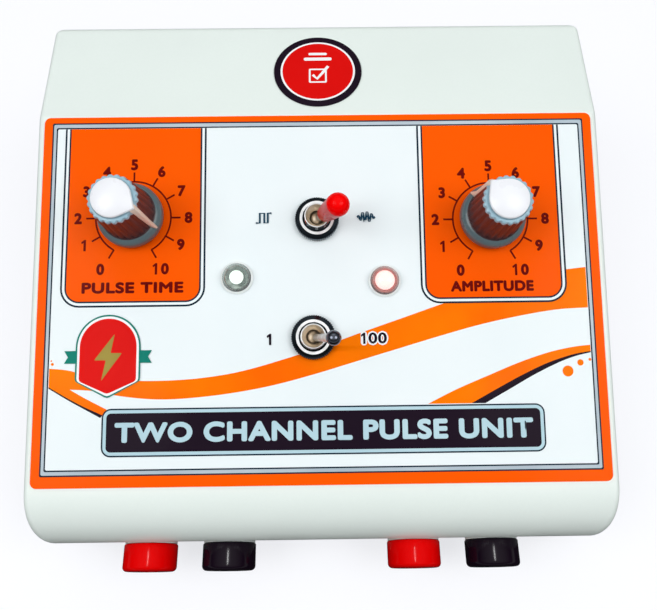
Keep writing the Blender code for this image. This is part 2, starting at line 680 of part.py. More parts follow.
def mains_transformer():
    """A laminated core with its winding round the middle limb."""
    middle = frame("transformer_middle", (-36 * mm, 96 * mm, 17 * mm), parent=case_frame)
    half = Vector((17 * mm, 7 * mm, 14 * mm))
    core = box("transformer_core", -half, half, middle, lamination_grey)
    for i in (-1, 1):
        edges = sorted((5.5 * i * mm, 11.5 * i * mm))
        low, high = (edges[0], -9 * mm, -8.5 * mm), (edges[1], 9 * mm, 8.5 * mm)
        cut(core, box(f"core_window_{i}", low, high, middle))
    half = Vector((11.2 * mm, 13 * mm, 8.2 * mm))
    winding = box("transformer_winding", -half, half, middle, copper)
    hole = Vector((5.8 * mm, 7.3 * mm, 12 * mm))
    cut(winding, box("limb_hole", -hole, hole, middle))


clear_scene()
model = new_collection("electrotherapy_stimulator", True)
cutters = new_collection("cutters", False)

ivory = material("case_ivory", (0.80, 0.83, 0.78), 0.35)
label_orange = material("label_orange", (0.95, 0.16, 0.01), 0.25)
sticker_red = material("sticker_red", (0.85, 0.01, 0.01), 0.3)
rubber = material("foot_rubber", (0.02, 0.02, 0.02), 0.8)
steel = material("screw_steel", (0.55, 0.55, 0.55), 0.35, 1)
bright_metal = material("bright_metal", (0.65, 0.66, 0.68), 0.3, 1)
chrome = material("chrome", (0.75, 0.76, 0.78), 0.12, 1)
brass = material("nickel_brass", (0.72, 0.66, 0.5), 0.25, 1)
copper = material("winding_tape", (0.55, 0.28, 0.06), 0.5)
knob_grey = material("knob_grey", (0.09, 0.11, 0.12), 0.35)
cap_white = material("cap_white", (0.85, 0.87, 0.9), 0.35)
red_plastic = material("red_plastic", (0.75, 0.01, 0.01), 0.25)
black_plastic = material("black_plastic", (0.015, 0.012, 0.018), 0.25)
switch_blue = material("switch_blue", (0.03, 0.09, 0.3), 0.4)
clear_lens = material("clear_lens", (0.8, 0.88, 0.84), 0.08, alpha=0.4)
pink_lens = material("pink_lens", (0.95, 0.45, 0.42), 0.08, alpha=0.5)
board_green = material("board_green", (0.03, 0.2, 0.07), 0.45)
capacitor_blue = material("capacitor_sleeve", (0.02, 0.04, 0.15), 0.35)
tape_yellow = material("transformer_tape", (0.75, 0.55, 0.08), 0.5)
lamination_grey = material("lamination_grey", (0.2, 0.2, 0.21), 0.5, 1)

case_frame = frame("case_frame", (0, FRONT_Y, FOOT_HEIGHT))
label_reach = LABEL_BELOW_CREASE + LABEL_SIZE[1] / 2
label_middle = Vector((0, CREASE_Y, CASE_HEIGHT + FOOT_HEIGHT))
label_middle -= Vector((0, COS_TILT, SIN_TILT)) * label_reach
panel_frame = frame("panel_frame", label_middle, (PANEL_TILT, 0, 0))
front_frame = frame("front_frame", (0, FRONT_Y, FOOT_HEIGHT + SOCKET_HEIGHT), (math.radians(90), 0, 0))
rear_turn = (math.radians(-90), 0, 0)
rear_level = FOOT_HEIGHT + REAR_HEIGHT
inlet_frame = frame("inlet_frame", (INLET_X, REAR_Y, rear_level), rear_turn)
fuse_frame = frame("fuse_frame", (FUSE_X, REAR_Y, rear_level), rear_turn)
power_frame = frame("power_frame", (POWER_SWITCH_X, REAR_Y, rear_level), rear_turn)
bpy.context.view_layer.update()

post_limit = case_block("post_limit", 1 * mm)
front_holes = panel_holes()
top_cover(front_holes)
base_tray()
front_label(front_holes)
round_sticker()
for corner in corners():
    foot_and_screw(*corner)
dial("duration", DURATION_DIAL, DURATION_ANGLE)
dial("intensity", INTENSITY_DIAL, INTENSITY_ANGLE)
lever_cap(toggle("mode_toggle", MODE_SWITCH, 0, MODE_LEVER_BALL))
toggle("rate_toggle", RATE_SWITCH, RATE_SWITCH_TURN, RATE_LEVER_BALL)
lamp("power_lamp", POWER_LAMP, clear_lens)
lamp("pulse_lamp", PULSE_LAMP, pink_lens)
socket_looks = (red_plastic, black_plastic, red_plastic, black_plastic)
socket_names = ("socket_a_red", "socket_a_black", "socket_b_red", "socket_b_black")
for socket_name, socket_x, socket_look in zip(socket_names, socket_places(), socket_looks):
    socket(socket_name, socket_x, socket_look)
mains_inlet()
fuse()
power_switch()
circuit_board()
mains_transformer()
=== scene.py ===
"""Looks for a two-channel electrotherapy unit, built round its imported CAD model: the case, the printed
panel, the dials, switches, lamps and sockets, and a plain studio. Local shapes are drawn in mm and placed
in metres.
"""

import json
import math

import bmesh
import bpy
from mathutils import Matrix, Vector

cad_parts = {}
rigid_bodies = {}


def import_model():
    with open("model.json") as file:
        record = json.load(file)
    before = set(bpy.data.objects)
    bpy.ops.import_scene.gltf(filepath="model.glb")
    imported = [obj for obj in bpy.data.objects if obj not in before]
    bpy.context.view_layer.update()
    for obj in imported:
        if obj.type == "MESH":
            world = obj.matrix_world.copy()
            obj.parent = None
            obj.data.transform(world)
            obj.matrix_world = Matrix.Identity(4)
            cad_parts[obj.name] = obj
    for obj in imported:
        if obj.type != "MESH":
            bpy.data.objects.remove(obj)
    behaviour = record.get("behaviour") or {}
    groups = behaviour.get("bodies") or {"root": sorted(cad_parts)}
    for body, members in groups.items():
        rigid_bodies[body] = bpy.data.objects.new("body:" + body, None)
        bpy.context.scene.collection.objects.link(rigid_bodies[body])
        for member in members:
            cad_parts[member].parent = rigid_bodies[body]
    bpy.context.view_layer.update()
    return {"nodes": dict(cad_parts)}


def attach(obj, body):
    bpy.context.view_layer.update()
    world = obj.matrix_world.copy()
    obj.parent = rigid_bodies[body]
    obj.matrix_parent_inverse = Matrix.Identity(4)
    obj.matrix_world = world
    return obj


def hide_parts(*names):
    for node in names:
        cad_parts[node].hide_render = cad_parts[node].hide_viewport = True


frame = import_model()
cad = frame["nodes"]
scene = bpy.context.scene

mm = 0.001

# Case, in mm
CASE_WIDTH = 140
PANEL_TILT = 16
TOP_DEPTH = 30.5
PANEL_LENGTH = 91.5
NOSE_RADIUS = 14
FRONT_HEIGHT = 21
FRONT_LEAN = 4.5
REAR_ROUND = 3
EDGE_ROUND = 1.5
FRONT_CORNER = 4
REAR_CORNER = 4
CREASE_ROUND = 3
WALL = 2.5
FOOT_HEIGHT = 3.5
BASE_EDGE = 4.5
SEAM = 0.3
LIP_TOP = 7.4
LIP_THICKNESS = 1.7
POST_INSET = (11, 14)
POST_RADIUS = 4.2
FRONT_POST_TOP = 34.2
SCREW_HOLE_RADIUS = 1.6
STAND_OFFS = [(x, y) for x in (-32, 48) for y in (25, 79)]
COOLING_SLOTS = 5
SLOT_STEP = 5

# Panel, in mm from the middle of the label: to the right, and up the slope
LABEL_SIZE = (136, 90)
LABEL_BASE = 0.05
LABEL_TOP = 0.45
LABEL_BELOW_CREASE = 0.5
DURATION_DIAL = (-45.4, 19.2)
INTENSITY_DIAL = (41.8, 18.0)
MODE_SWITCH = (-0.6, 18.2)
RATE_SWITCH = (-1.7, -10.6)
POWER_LAMP = (-20.1, 4.1)
PULSE_LAMP = (15.6, 3.0)
STICKER_RADIUS = 11.3
STICKER_BEHIND_CREASE = 13.6
STICKER_TOP = 0.33
DIAL_HOLE = 3.7
SMALL_HOLE = 3.2
PANEL_HOLES = (
    (DURATION_DIAL, DIAL_HOLE), (INTENSITY_DIAL, DIAL_HOLE), (MODE_SWITCH, SMALL_HOLE),
    (RATE_SWITCH, SMALL_HOLE),
    (POWER_LAMP, SMALL_HOLE), (PULSE_LAMP, SMALL_HOLE),
)

# Controls, in mm and degrees
DURATION_ANGLE = 117
INTENSITY_ANGLE = -44
KNOB_FOOT = 2.2
KNOB_TOP = 17.6
SKIRT_RADIUS = 7.85
GRIP_RADII = (6.45, 5.6)
FLUTES = 22
LEVER_TILT = 20
RATE_SWITCH_TURN = -14
PIVOT_HEIGHT = 0.9
LEVER_LENGTH = 15.6
MODE_LEVER_BALL = 1.45
RATE_LEVER_BALL = 1.75
LEVER_CAP_RADIUS = 2.75
THREAD_RADIUS = 3.0

# Front and rear walls, in mm
SOCKET_SPACING = 20
SOCKET_PAIR_OFFSET = 33.5
SOCKET_ROW_MIDDLE = -0.5
SOCKET_HEIGHT = 13
SOCKET_REACH = 6.6
SOCKET_RADIUS = 6.7
SOCKET_SEAT_RADIUS = 6.5
SOCKET_NUT_ROOM = 6.2
SOCKET_HOLE = 4.3
SOCKET_BORE = 2.0
REAR_HEIGHT = 28
INLET_X = -38
FUSE_X = -8
POWER_SWITCH_X = 30
FUSE_HOLE = 6.3
FUSE_CAP_REACH = 8.5
ROCKER_TILT = 9

TILT = math.radians(PANEL_TILT)
CASE_DEPTH = TOP_DEPTH + PANEL_LENGTH * math.cos(TILT) + NOSE_RADIUS * (1 - math.sin(TILT))
CASE_HEIGHT = FRONT_HEIGHT + NOSE_RADIUS * math.cos(TILT) + PANEL_LENGTH * math.sin(TILT)
FRONT_Y = (SOCKET_REACH - FUSE_CAP_REACH - CASE_DEPTH) / 2
REAR_Y = FRONT_Y + CASE_DEPTH
CREASE_Y = REAR_Y - TOP_DEPTH

# Letters, in mm: room between them, the drop from one copy to the next, and points taken as one
LETTER_SPACING = 1.08
HAIR = 0.003
SAME_POINT = 0.0001


def front_wall(height, inset=0):
    """Y of the front wall at a height. It runs back from the nose towards its foot."""
    lean, radius = math.radians(FRONT_LEAN), NOSE_RADIUS - inset
    top_y, top_z = NOSE_RADIUS - radius * math.cos(lean), FRONT_HEIGHT - radius * math.sin(lean)
    return top_y + (top_z - height) * math.tan(lean)


# ---- places ----


def turn(degrees, axis):
    return Matrix.Rotation(math.radians(degrees), 4, axis)


def shift(x, y, z=0):
    return Matrix.Translation((x * mm, y * mm, z * mm))


CASE = shift(0, FRONT_Y, FOOT_HEIGHT)
LABEL_REACH = LABEL_BELOW_CREASE + LABEL_SIZE[1] / 2
PANEL = shift(
    0, CREASE_Y - LABEL_REACH * math.cos(TILT), FOOT_HEIGHT + CASE_HEIGHT - LABEL_REACH * math.sin(TILT)
) @ turn(PANEL_TILT, "X")
FRONT = shift(0, FRONT_Y, FOOT_HEIGHT + SOCKET_HEIGHT) @ turn(90, "X")
REAR = shift(0, REAR_Y, FOOT_HEIGHT + REAR_HEIGHT) @ turn(-90, "X")
HERE = Matrix.Identity(4)


# ---- shapes ----


def arc(centre, radius, start, end, count):
    """Points on an arc, angles in degrees anticlockwise from the first axis."""
    angles = [math.radians(start + (end - start) * i / count) for i in range(count + 1)]
    return [(centre[0] + radius * math.cos(a), centre[1] + radius * math.sin(a)) for a in angles]


def round_box(width, height, radius, count=8):
    """The outline of a rectangle with round corners, about the origin."""
    x, y = width / 2 - radius, height / 2 - radius
    corners = ((x, y, 0), (-x, y, 90), (-x, -y, 180), (x, -y, 270))
    return [p for cx, cy, start in corners for p in arc((cx, cy), radius, start, start + 90, count)]


def moved(outline, x, y):
    return [(px + x, py + y) for px, py in outline]


def soften(points, reach, closed=False, steps=3):
    """Rounds each corner of a line of points, starting up to reach from the corner."""
    line = [Vector(p) for p in points]
    last = len(line) - 1
    out = []
    for i, corner in enumerate(line):
        if not closed and i in (0, last):
            out.append(tuple(corner))
            continue
        to_before = line[i - 1] - corner
        to_after = line[(i + 1) % len(line)] - corner
        a = corner + to_before.normalized() * min(reach, to_before.length * 0.45)
        b = corner + to_after.normalized() * min(reach, to_after.length * 0.45)
        for k in range(steps + 1):
            t = k / steps
            out.append(tuple(a * (1 - t) ** 2 + corner * 2 * t * (1 - t) + b * t * t))
    return out


def curve_through(points, steps=8):
    """A smooth line through the points."""
    line = [Vector(p) for p in points]
    line = [2 * line[0] - line[1], *line, 2 * line[-1] - line[-2]]
    out = []
    for p0, p1, p2, p3 in zip(line, line[1:], line[2:], line[3:]):
        for k in range(steps):
            t = k / steps
            out.append(tuple(
                0.5 * (2 * p1 + (p2 - p0) * t + (2 * p0 - 5 * p1 + 4 * p2 - p3) * t ** 2
                       + (3 * p1 - p0 - 3 * p2 + p3) * t ** 3)
            ))
    out.append(tuple(line[-2]))
    return out


def to_mesh(shape, crease=35):
    """A mesh in metres from a shape in mm."""
    bmesh.ops.recalc_face_normals(shape, faces=shape.faces)
    bmesh.ops.scale(shape, vec=(mm, mm, mm), verts=shape.verts)
    mesh = bpy.data.meshes.new("piece")
    shape.to_mesh(mesh)
    shape.free()
    mesh.shade_smooth()
    mesh.set_sharp_from_angle(angle=math.radians(crease))
    return mesh


def skin(shape, loops, closed=False):
    """Faces between neighbouring loops of vertices; a loop of one vertex is a point."""
    pairs = list(zip(loops, loops[1:]))
    if closed:
        pairs.append((loops[-1], loops[0]))
    for a, b in pairs:
        count = max(len(a), len(b))
        for i in range(count):
            j = (i + 1) % count
            corners = [a[i % len(a)], a[j % len(a)], b[j % len(b)], b[i % len(b)]]
            corners = list(dict.fromkeys(corners))
            if len(corners) > 2:
                shape.faces.new(corners)


def turned(profile, steps=64, ribs=0, crease=35):
    """A turned piece from (radius, height) pairs, or (radius, height, rib depth) where ribs go round it. The
    profile is a loop, unless it starts on the axis."""
    shape = bmesh.new()
    loops = []
    for radius, height, *depth in profile:
        if radius < 1e-6:
            loops.append([shape.verts.new((0, 0, height))])
            continue
        loop = []
        for i in range(steps):
            angle = math.tau * i / steps
            groove = depth[0] * (0.5 - 0.5 * math.cos(ribs * angle)) ** 1.4 if depth else 0
            loop.append(shape.verts.new((
                (radius - groove) * math.cos(angle), (radius - groove) * math.sin(angle), height
            )))
        loops.append(loop)
    skin(shape, loops, closed=profile[0][0] > 1e-6)
    return to_mesh(shape, crease)


def capped(shape, loops):
    """Faces between neighbouring loops, and one across each end."""
    skin(shape, loops)
    shape.faces.new(loops[0])
    shape.faces.new(loops[-1])


def stack(outlines, crease=35):
    """A solid skinned through flat outlines of equal length, each ((x, y) pairs, height)."""
    shape = bmesh.new()
    capped(shape, [[shape.verts.new((x, y, height)) for x, y in outline] for outline, height in outlines])
    return to_mesh(shape, crease)


def straight_stack(outline, low, high):
    """A solid of one outline from low to high."""
    return stack([(outline, low), (outline, high)])


def slab(outline, low, high, rounding=0.0, steps=3):
    """A flat piece with an outline about its middle and its upper edge rounded."""
    layers = [(outline, low), (outline, high - rounding)]
    reach = max(abs(v) for p in outline for v in p)
    for k in range(1, steps + 1 if rounding else 1):
        turned_by = math.radians(90 * k / steps)
        shrink = 1 - rounding * (1 - math.cos(turned_by)) / reach
        height = high - rounding * (1 - math.sin(turned_by))
        layers.append(([(x * shrink, y * shrink) for x, y in outline], height))
    return stack(layers)


def flat_mesh(curve, thickness):
    """The mesh of a flat curve or text, made that thick about its own plane."""
    curve.extrude = thickness / 2
    guide = bpy.data.objects.new("guide", curve)
    scene.collection.objects.link(guide)
    graph = bpy.context.evaluated_depsgraph_get()
    flat = bpy.data.meshes.new_from_object(guide.evaluated_get(graph))
    bpy.data.objects.remove(guide)
    return flat


def stamp(shape, flat, place):
    """Adds a copy of a flat mesh to the shape, in its place."""
    before = len(shape.verts)
    shape.from_mesh(flat)
    shape.verts.ensure_lookup_table()
    bmesh.ops.transform(shape, matrix=place, verts=shape.verts[before:])


def stamped(shape):
    """The finished mesh of all that was stamped into the shape."""
    bmesh.ops.remove_doubles(shape, verts=shape.verts, dist=SAME_POINT)
    return to_mesh(shape)


def inked(outlines, low, high):
    """Flat artwork with its thickness from low to high. An outline inside another makes a hole."""
    curve = bpy.data.curves.new("ink", "CURVE")
    curve.dimensions = "2D"
    curve.fill_mode = "BOTH"
    for outline in outlines:
        spline = curve.splines.new("POLY")
        spline.points.add(len(outline) - 1)
        for point, (x, y) in zip(spline.points, outline):
            point.co = (x, y, 0, 1)
        spline.use_cyclic_u = True
    flat = flat_mesh(curve, high - low)
    shape = bmesh.new()
    stamp(shape, flat, Matrix.Translation((0, 0, (low + high) / 2)))
    bpy.data.meshes.remove(flat)
    return stamped(shape)


def lettering(words, low, high, weight=0.1):
    """Text as raised ink. Each word is (text, x, y, height, width), centred on its place. Its strokes are
    made wider by weight all round, with copies set off to every side and each a hair below the one before."""
    shape = bmesh.new()
    copies = [(0, 0)] + arc((0, 0), weight, 0, 315, 7)
    for text, x, y, height, width in words:
        curve = bpy.data.curves.new("word", "FONT")
        curve.body = text
        curve.align_x = "CENTER"
        curve.align_y = "CENTER"
        curve.space_character = LETTER_SPACING
        flat = flat_mesh(curve, high - low)
        low_x, high_x = min(v.co.x for v in flat.vertices), max(v.co.x for v in flat.vertices)
        low_y, high_y = min(v.co.y for v in flat.vertices), max(v.co.y for v in flat.vertices)
        size_y = (height - 2 * weight) / (high_y - low_y)
        size_x = (width - 2 * weight) / (high_x - low_x) if width else size_y
        to_size = Matrix.Diagonal((size_x, size_y, 1, 1))
        to_size = to_size @ Matrix.Translation((-(low_x + high_x) / 2, -(low_y + high_y) / 2, 0))
        for i, (step_x, step_y) in enumerate(copies):
            middle = (low + high) / 2 + HAIR * (len(copies) - i)
            stamp(shape, flat, Matrix.Translation((x + step_x, y + step_y, middle)) @ to_size)
        bpy.data.meshes.remove(flat)
    return stamped(shape)


def one(x, y, height):
    """The outline of a figure 1 with its flag, centred on its place."""
    outline = ((-0.1, -0.5), (0.1, -0.5), (0.1, 0.5), (-0.04, 0.5), (-0.3, 0.3), (-0.26, 0.13), (-0.1, 0.24))
    return [(x + px * height, y + py * height) for px, py in outline]


plain_pieces = []


def piece(name, mesh, place, body, looks, nodes=()):
    """A piece in its place, riding on a CAD body and standing for the CAD nodes."""
    obj = bpy.data.objects.new(name, mesh)
    mesh.name = name
    scene.collection.objects.link(obj)
    obj.matrix_world = place
    for look in looks if isinstance(looks, (list, tuple)) else [looks]:
        mesh.materials.append(look)
    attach(obj, body)
    if not any(look.name in RINGED for look in mesh.materials):
        plain_pieces.append(obj)
    if nodes:
        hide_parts(*([nodes] if isinstance(nodes, str) else nodes))
    return obj


def paint(obj, index, chosen):
    """Gives the faces whose middle, in mm, is chosen the look of that index."""
    for face in obj.data.polygons:
        if chosen(face.center / mm):
            face.material_index = index


def carve(mesh, operation, tools):
    """The mesh cut by, or joined to, (mesh, place) tools; all in the same local space."""
    group = bpy.data.collections.new("tools")
    target = bpy.data.objects.new("target", mesh)
    scene.collection.objects.link(target)
    for tool, place in tools:
        obj = bpy.data.objects.new("tool", tool)
        obj.matrix_world = place
        group.objects.link(obj)
    scene.collection.children.link(group)
    boolean = target.modifiers.new("carve", "BOOLEAN")
    boolean.operation = operation
    boolean.operand_type = "COLLECTION"
    boolean.collection = group
    graph = bpy.context.evaluated_depsgraph_get()
    done = bpy.data.meshes.new_from_object(target.evaluated_get(graph))
    for obj in [target, *group.objects]:
        bpy.data.objects.remove(obj)
    bpy.data.collections.remove(group)
    return done


def rod(radius, low, high, steps=48):
    return turned([(0, high), (radius, high), (radius, low), (0, low)], steps)


def block(low, high):
    """A sharp-edged box, for cutting."""
    outline = [(low[0], low[1]), (high[0], low[1]), (high[0], high[1]), (low[0], high[1])]
    return straight_stack(outline, low[2], high[2])


# ---- looks ----


def srgb(red, green, blue):
    """A colour given as 0 to 255 screen values."""
    values = [v / 255 for v in (red, green, blue)]
    return [v / 12.92 if v <= 0.04045 else ((v + 0.055) / 1.055) ** 2.4 for v in values]


class Look:
    """A Principled material whose nodes are added one by one."""

    def __init__(self, name, colour, roughness, metallic=0.0, **sockets):
        self.material = bpy.data.materials.new(name)
        self.material.use_nodes = True
        self.tree = self.material.node_tree
        self.shader = self.tree.nodes["Principled BSDF"]
        self.colour = colour
        self.set("Base Color", (*colour, 1))
        self.set("Roughness", roughness)
        self.set("Metallic", metallic)
        for socket, value in sockets.items():
            self.set(socket.replace("_", " "), value)
        self.coordinates = self.tree.nodes.new("ShaderNodeTexCoord").outputs["Object"]
        self.relief = None

    def set(self, socket, value):
        self.shader.inputs[socket].default_value = value

    def link(self, source, target):
        self.tree.links.new(source, target)

    def node(self, kind, **inputs):
        """A new node with some inputs set; an underscore stands for a space in their names."""
        node = self.tree.nodes.new(kind)
        for socket, value in inputs.items():
            node.inputs[socket.replace("_", " ")].default_value = value
        return node

    def stretched(self, scale):
        node = self.node("ShaderNodeMapping", Scale=scale)
        self.link(self.coordinates, node.inputs["Vector"])
        return node.outputs["Vector"]

    def noise(self, per_mm, detail=3.0, scale=(1, 1, 1)):
        """Noise with about per_mm features in a mm."""
        node = self.node("ShaderNodeTexNoise", Scale=per_mm / mm, Detail=detail)
        self.link(self.stretched(scale), node.inputs["Vector"])
        return node.outputs["Fac"]

    def rings(self, per_mm):
        """Fine rings round the local Z axis, as a lathe leaves them."""
        flat = self.node("ShaderNodeVectorMath")
        flat.operation = "LENGTH"
        self.link(self.stretched((1, 1, 0)), flat.inputs[0])
        node = self.node("ShaderNodeTexNoise", Scale=per_mm / mm)
        node.noise_dimensions = "1D"
        self.link(flat.outputs["Value"], node.inputs["W"])
        return node.outputs["Fac"]

    def spread(self, source, low, high):
        """The middle range of a noise stretched from low to high."""
        node = self.node("ShaderNodeMapRange", From_Min=0.3, From_Max=0.7, To_Min=low, To_Max=high)
        self.link(source, node.inputs["Value"])
        return node.outputs["Result"]

    def tint(self, source, other):
        """The colour drifts towards another one, as the source goes from 0 to 1."""
        node = self.node("ShaderNodeMix")
        node.data_type = "RGBA"
        node.inputs["A"].default_value = (*self.colour, 1)
        node.inputs["B"].default_value = (*other, 1)
        before = self.shader.inputs["Base Color"]
        if before.is_linked:
            self.link(before.links[0].from_socket, node.inputs["A"])
        self.link(source, node.inputs["Factor"])
        self.link(node.outputs["Result"], before)
        return self

    def patchy(self, per_mm, amount, other):
        return self.tint(self.spread(self.noise(per_mm), 0, amount), other)

    def rough(self, source, low, high):
        self.link(self.spread(source, low, high), self.shader.inputs["Roughness"])
        return self

    def bump(self, source, depth):
        """Relief of that depth in mm."""
        node = self.node("ShaderNodeBump", Strength=1.0, Distance=depth * mm)
        self.link(source, node.inputs["Height"])
        if self.relief:
            self.link(self.relief, node.inputs["Normal"])
        self.relief = node.outputs["Normal"]
        self.link(self.relief, self.shader.inputs["Normal"])
        return self


def moulded(name, colour, roughness, shade=0.9, grain=0.004, **sockets):
    """Moulded plastic: faint patches, a fine spark-eroded grain and handling marks in its gloss."""
    look = Look(name, colour, roughness, **sockets)
    look.patchy(0.05, 0.6, [c * shade for c in colour])
    look.patchy(1.5, 0.35, [c * shade for c in colour])
    look.rough(look.noise(0.12, 5), roughness * 0.8, roughness * 1.25)
    if grain:
        look.bump(look.noise(3.0, 2), grain)
    return look.material


RINGED = set()


def metal(name, colour, roughness, ring_depth=0.0015, stain=(0.3, 0.27, 0.22)):
    """Turned or plated metal: rings or fine marks, and dull patches."""
    look = Look(name, colour, roughness, 1.0)
    RINGED.add(name)
    look.patchy(0.5, 0.35, stain)
    look.rough(look.noise(0.9, 4), roughness * 0.7, roughness * 1.6)
    look.bump(look.rings(9.0), ring_depth)
    look.bump(look.noise(6.0, 2, (1, 1, 0.2)), ring_depth * 0.5)
    return look.material


def laminated(name, colour, other=None, amount=0.25):
    """Ink under a clear gloss film, with a faint print texture and slight waves in the film."""
    look = Look(name, colour, 0.5, Coat_Weight=0.05, Coat_Roughness=0.1, Coat_IOR=1.45,
                Specular_IOR_Level=0.01)
    look.patchy(0.04, amount, other or [c * 0.93 for c in colour])
    look.patchy(4.0, 0.12, [c * 0.9 for c in colour])
    look.bump(look.noise(0.08, 1), 0.01)
    return look.material


IVORY = srgb(233, 243, 238)
ORANGE = srgb(255, 92, 0)
case_ivory = moulded("case_ivory", IVORY, 0.38, shade=0.955, grain=0.003, Specular_IOR_Level=0.4)
tray_ivory = moulded("tray_ivory", [c * 0.96 for c in IVORY], 0.5, shade=0.95, grain=0.006)
ink_orange = laminated("ink_orange", ORANGE, srgb(255, 80, 0))
ink_swoosh = laminated("ink_swoosh", srgb(255, 128, 0), srgb(255, 98, 0), 0.9)
ink_field = laminated("ink_field", srgb(240, 248, 250), srgb(232, 243, 246), 0.5)
ink_silver = laminated("ink_silver", srgb(196, 208, 216), srgb(160, 178, 190), 0.8)
ink_line = laminated("ink_line", srgb(24, 44, 60), srgb(14, 28, 40))
ink_maroon = laminated("ink_maroon", srgb(112, 14, 8), srgb(84, 8, 10), 0.5)
ink_plate = laminated("ink_plate", srgb(32, 20, 34), srgb(22, 14, 26))
ink_letters = laminated("ink_letters", srgb(190, 219, 228), srgb(172, 206, 218), 0.6)
ink_teal = laminated("ink_teal", srgb(38, 72, 92), srgb(28, 52, 70))
ink_red = laminated("ink_red", srgb(226, 18, 14), srgb(200, 10, 12), 0.4)
ink_green = laminated("ink_green", srgb(20, 128, 112), srgb(10, 104, 96))
ink_gold = laminated("ink_gold", srgb(168, 150, 72), srgb(146, 130, 60), 0.6)
ink_white = laminated("ink_white", srgb(246, 248, 250))
# The knob body: dark grey with a painted reflection of the orange panel, which tints it maroon.
knob_grey = moulded("knob_grey", srgb(66, 40, 44), 0.36, shade=0.75, grain=0.004)
skirt_grey = moulded("skirt_grey", srgb(92, 112, 118), 0.3, shade=0.85, grain=0.003)
# The knobs' flat top rim: the knob's own grey painted pale blue, a painted highlight where the top faces the
# light.
rim_painted_highlight = moulded("rim_painted_highlight", srgb(158, 194, 210), 0.35, shade=0.85, grain=0.003)
cap_white = moulded("cap_white", srgb(246, 248, 253), 0.3, shade=0.97, grain=0.002)
pointer_cream = moulded("pointer_cream", srgb(236, 214, 196), 0.35, shade=0.92, grain=0.002)
red_gloss = moulded("red_gloss", srgb(255, 2, 3), 0.13, shade=0.95, grain=0.0008, Specular_IOR_Level=0.07)
black_gloss = moulded("black_gloss", srgb(26, 13, 28), 0.13, shade=0.7, grain=0.0008, Specular_IOR_Level=0.17)
black_plastic = moulded("black_plastic", srgb(26, 26, 28), 0.38, shade=0.7, grain=0.006)
rubber = moulded("foot_rubber", srgb(28, 28, 30), 0.75, shade=0.75, grain=0.015)
switch_blue = moulded("switch_blue", srgb(34, 66, 140), 0.4)
board_green = moulded("board_green", srgb(30, 110, 62), 0.35, shade=0.8, grain=0.002)
capacitor_sleeve = moulded("capacitor_sleeve", srgb(26, 40, 96), 0.3)
transformer_tape = moulded("transformer_tape", srgb(222, 190, 70), 0.4, grain=0.01)
winding_tape = moulded("winding_tape", srgb(190, 128, 62), 0.45, grain=0.01)
# A darker, duller copy of the sleeve's red plastic, as painted shade on its sides.
red_sleeve_painted_shade = moulded("red_sleeve_painted_shade", srgb(214, 22, 22), 0.3, shade=0.8, grain=0.001)
chrome = metal("chrome", (0.82, 0.84, 0.86), 0.09)
# Chrome painted dark for the dress nuts' sloped outside: a painted dark reflection.
nut_chrome_painted_dark = metal("nut_chrome_painted_dark", (0.07, 0.09, 0.11), 0.12, stain=(0.03, 0.04, 0.05))
ball_chrome = metal("ball_chrome", (0.12, 0.13, 0.16), 0.08, ring_depth=0.0006, stain=(0.06, 0.07, 0.09))
# Bright satin chrome; on the dress nuts' flat top it is a painted highlight, elsewhere the chrome's own satin
# finish.
satin_chrome_and_highlight = metal("satin_chrome_and_highlight", (0.95, 0.96, 0.97), 0.42)
cream_metal = metal("cream_metal", (0.78, 0.68, 0.55), 0.35)
bright_metal = metal("bright_metal", (0.66, 0.67, 0.69), 0.28)
nickel = metal("nickel", (0.74, 0.7, 0.6), 0.22)
steel = metal("screw_steel", (0.6, 0.6, 0.6), 0.3)
lamination = metal("lamination_steel", (0.25, 0.25, 0.27), 0.5)


def clear(name, colour):
    """Tinted clear plastic, with faint flow marks."""
    look = Look(name, colour, 0.04, Transmission_Weight=0.88, IOR=1.25)
    look.patchy(0.6, 0.3, [c * 0.9 for c in colour])
    look.bump(look.noise(0.9, 2), 0.01)
    return look.material


def mottled(name, colour, other):
    """The faceted inside of a lamp, with bright patches that are painted highlights."""
    look = Look(name, colour, 0.15)
    look.tint(look.spread(look.noise(0.55, 1), -0.6, 0.9), other)
    look.patchy(1.5, 0.5, [c * 0.7 for c in colour])
    look.bump(look.noise(1.2, 2), 0.03)
    return look.material


def glowing(name, colour, strength):
    """A pale die behind clear resin, faintly lit."""
    look = Look(name, colour, 0.25, Emission_Color=(*colour, 1), Emission_Strength=strength)
    look.patchy(0.8, 0.3, [c * 0.94 for c in colour])
    look.bump(look.noise(1.2, 2), 0.02)
    return look.material


clear_lens = clear("clear_lens", srgb(238, 245, 241))
pink_lens = clear("pink_lens", srgb(255, 226, 222))
lens_flange = moulded("lens_flange", srgb(240, 247, 246), 0.2, shade=0.94, grain=0.001)
clear_die = glowing("clear_die", srgb(250, 253, 250), 1.1)
pink_die = glowing("pink_die", srgb(255, 246, 244), 1.0)
clear_cup = mottled("clear_cup", srgb(92, 114, 106), srgb(235, 240, 232))
pink_cup = mottled("pink_cup", srgb(250, 176, 172), srgb(255, 236, 232))


# ---- the case ----


def eased(a, b, t):
    """From a to b as t goes from 0 to 1, slowly at both ends."""
    return a + (b - a) * (t * t * (3 - 2 * t))


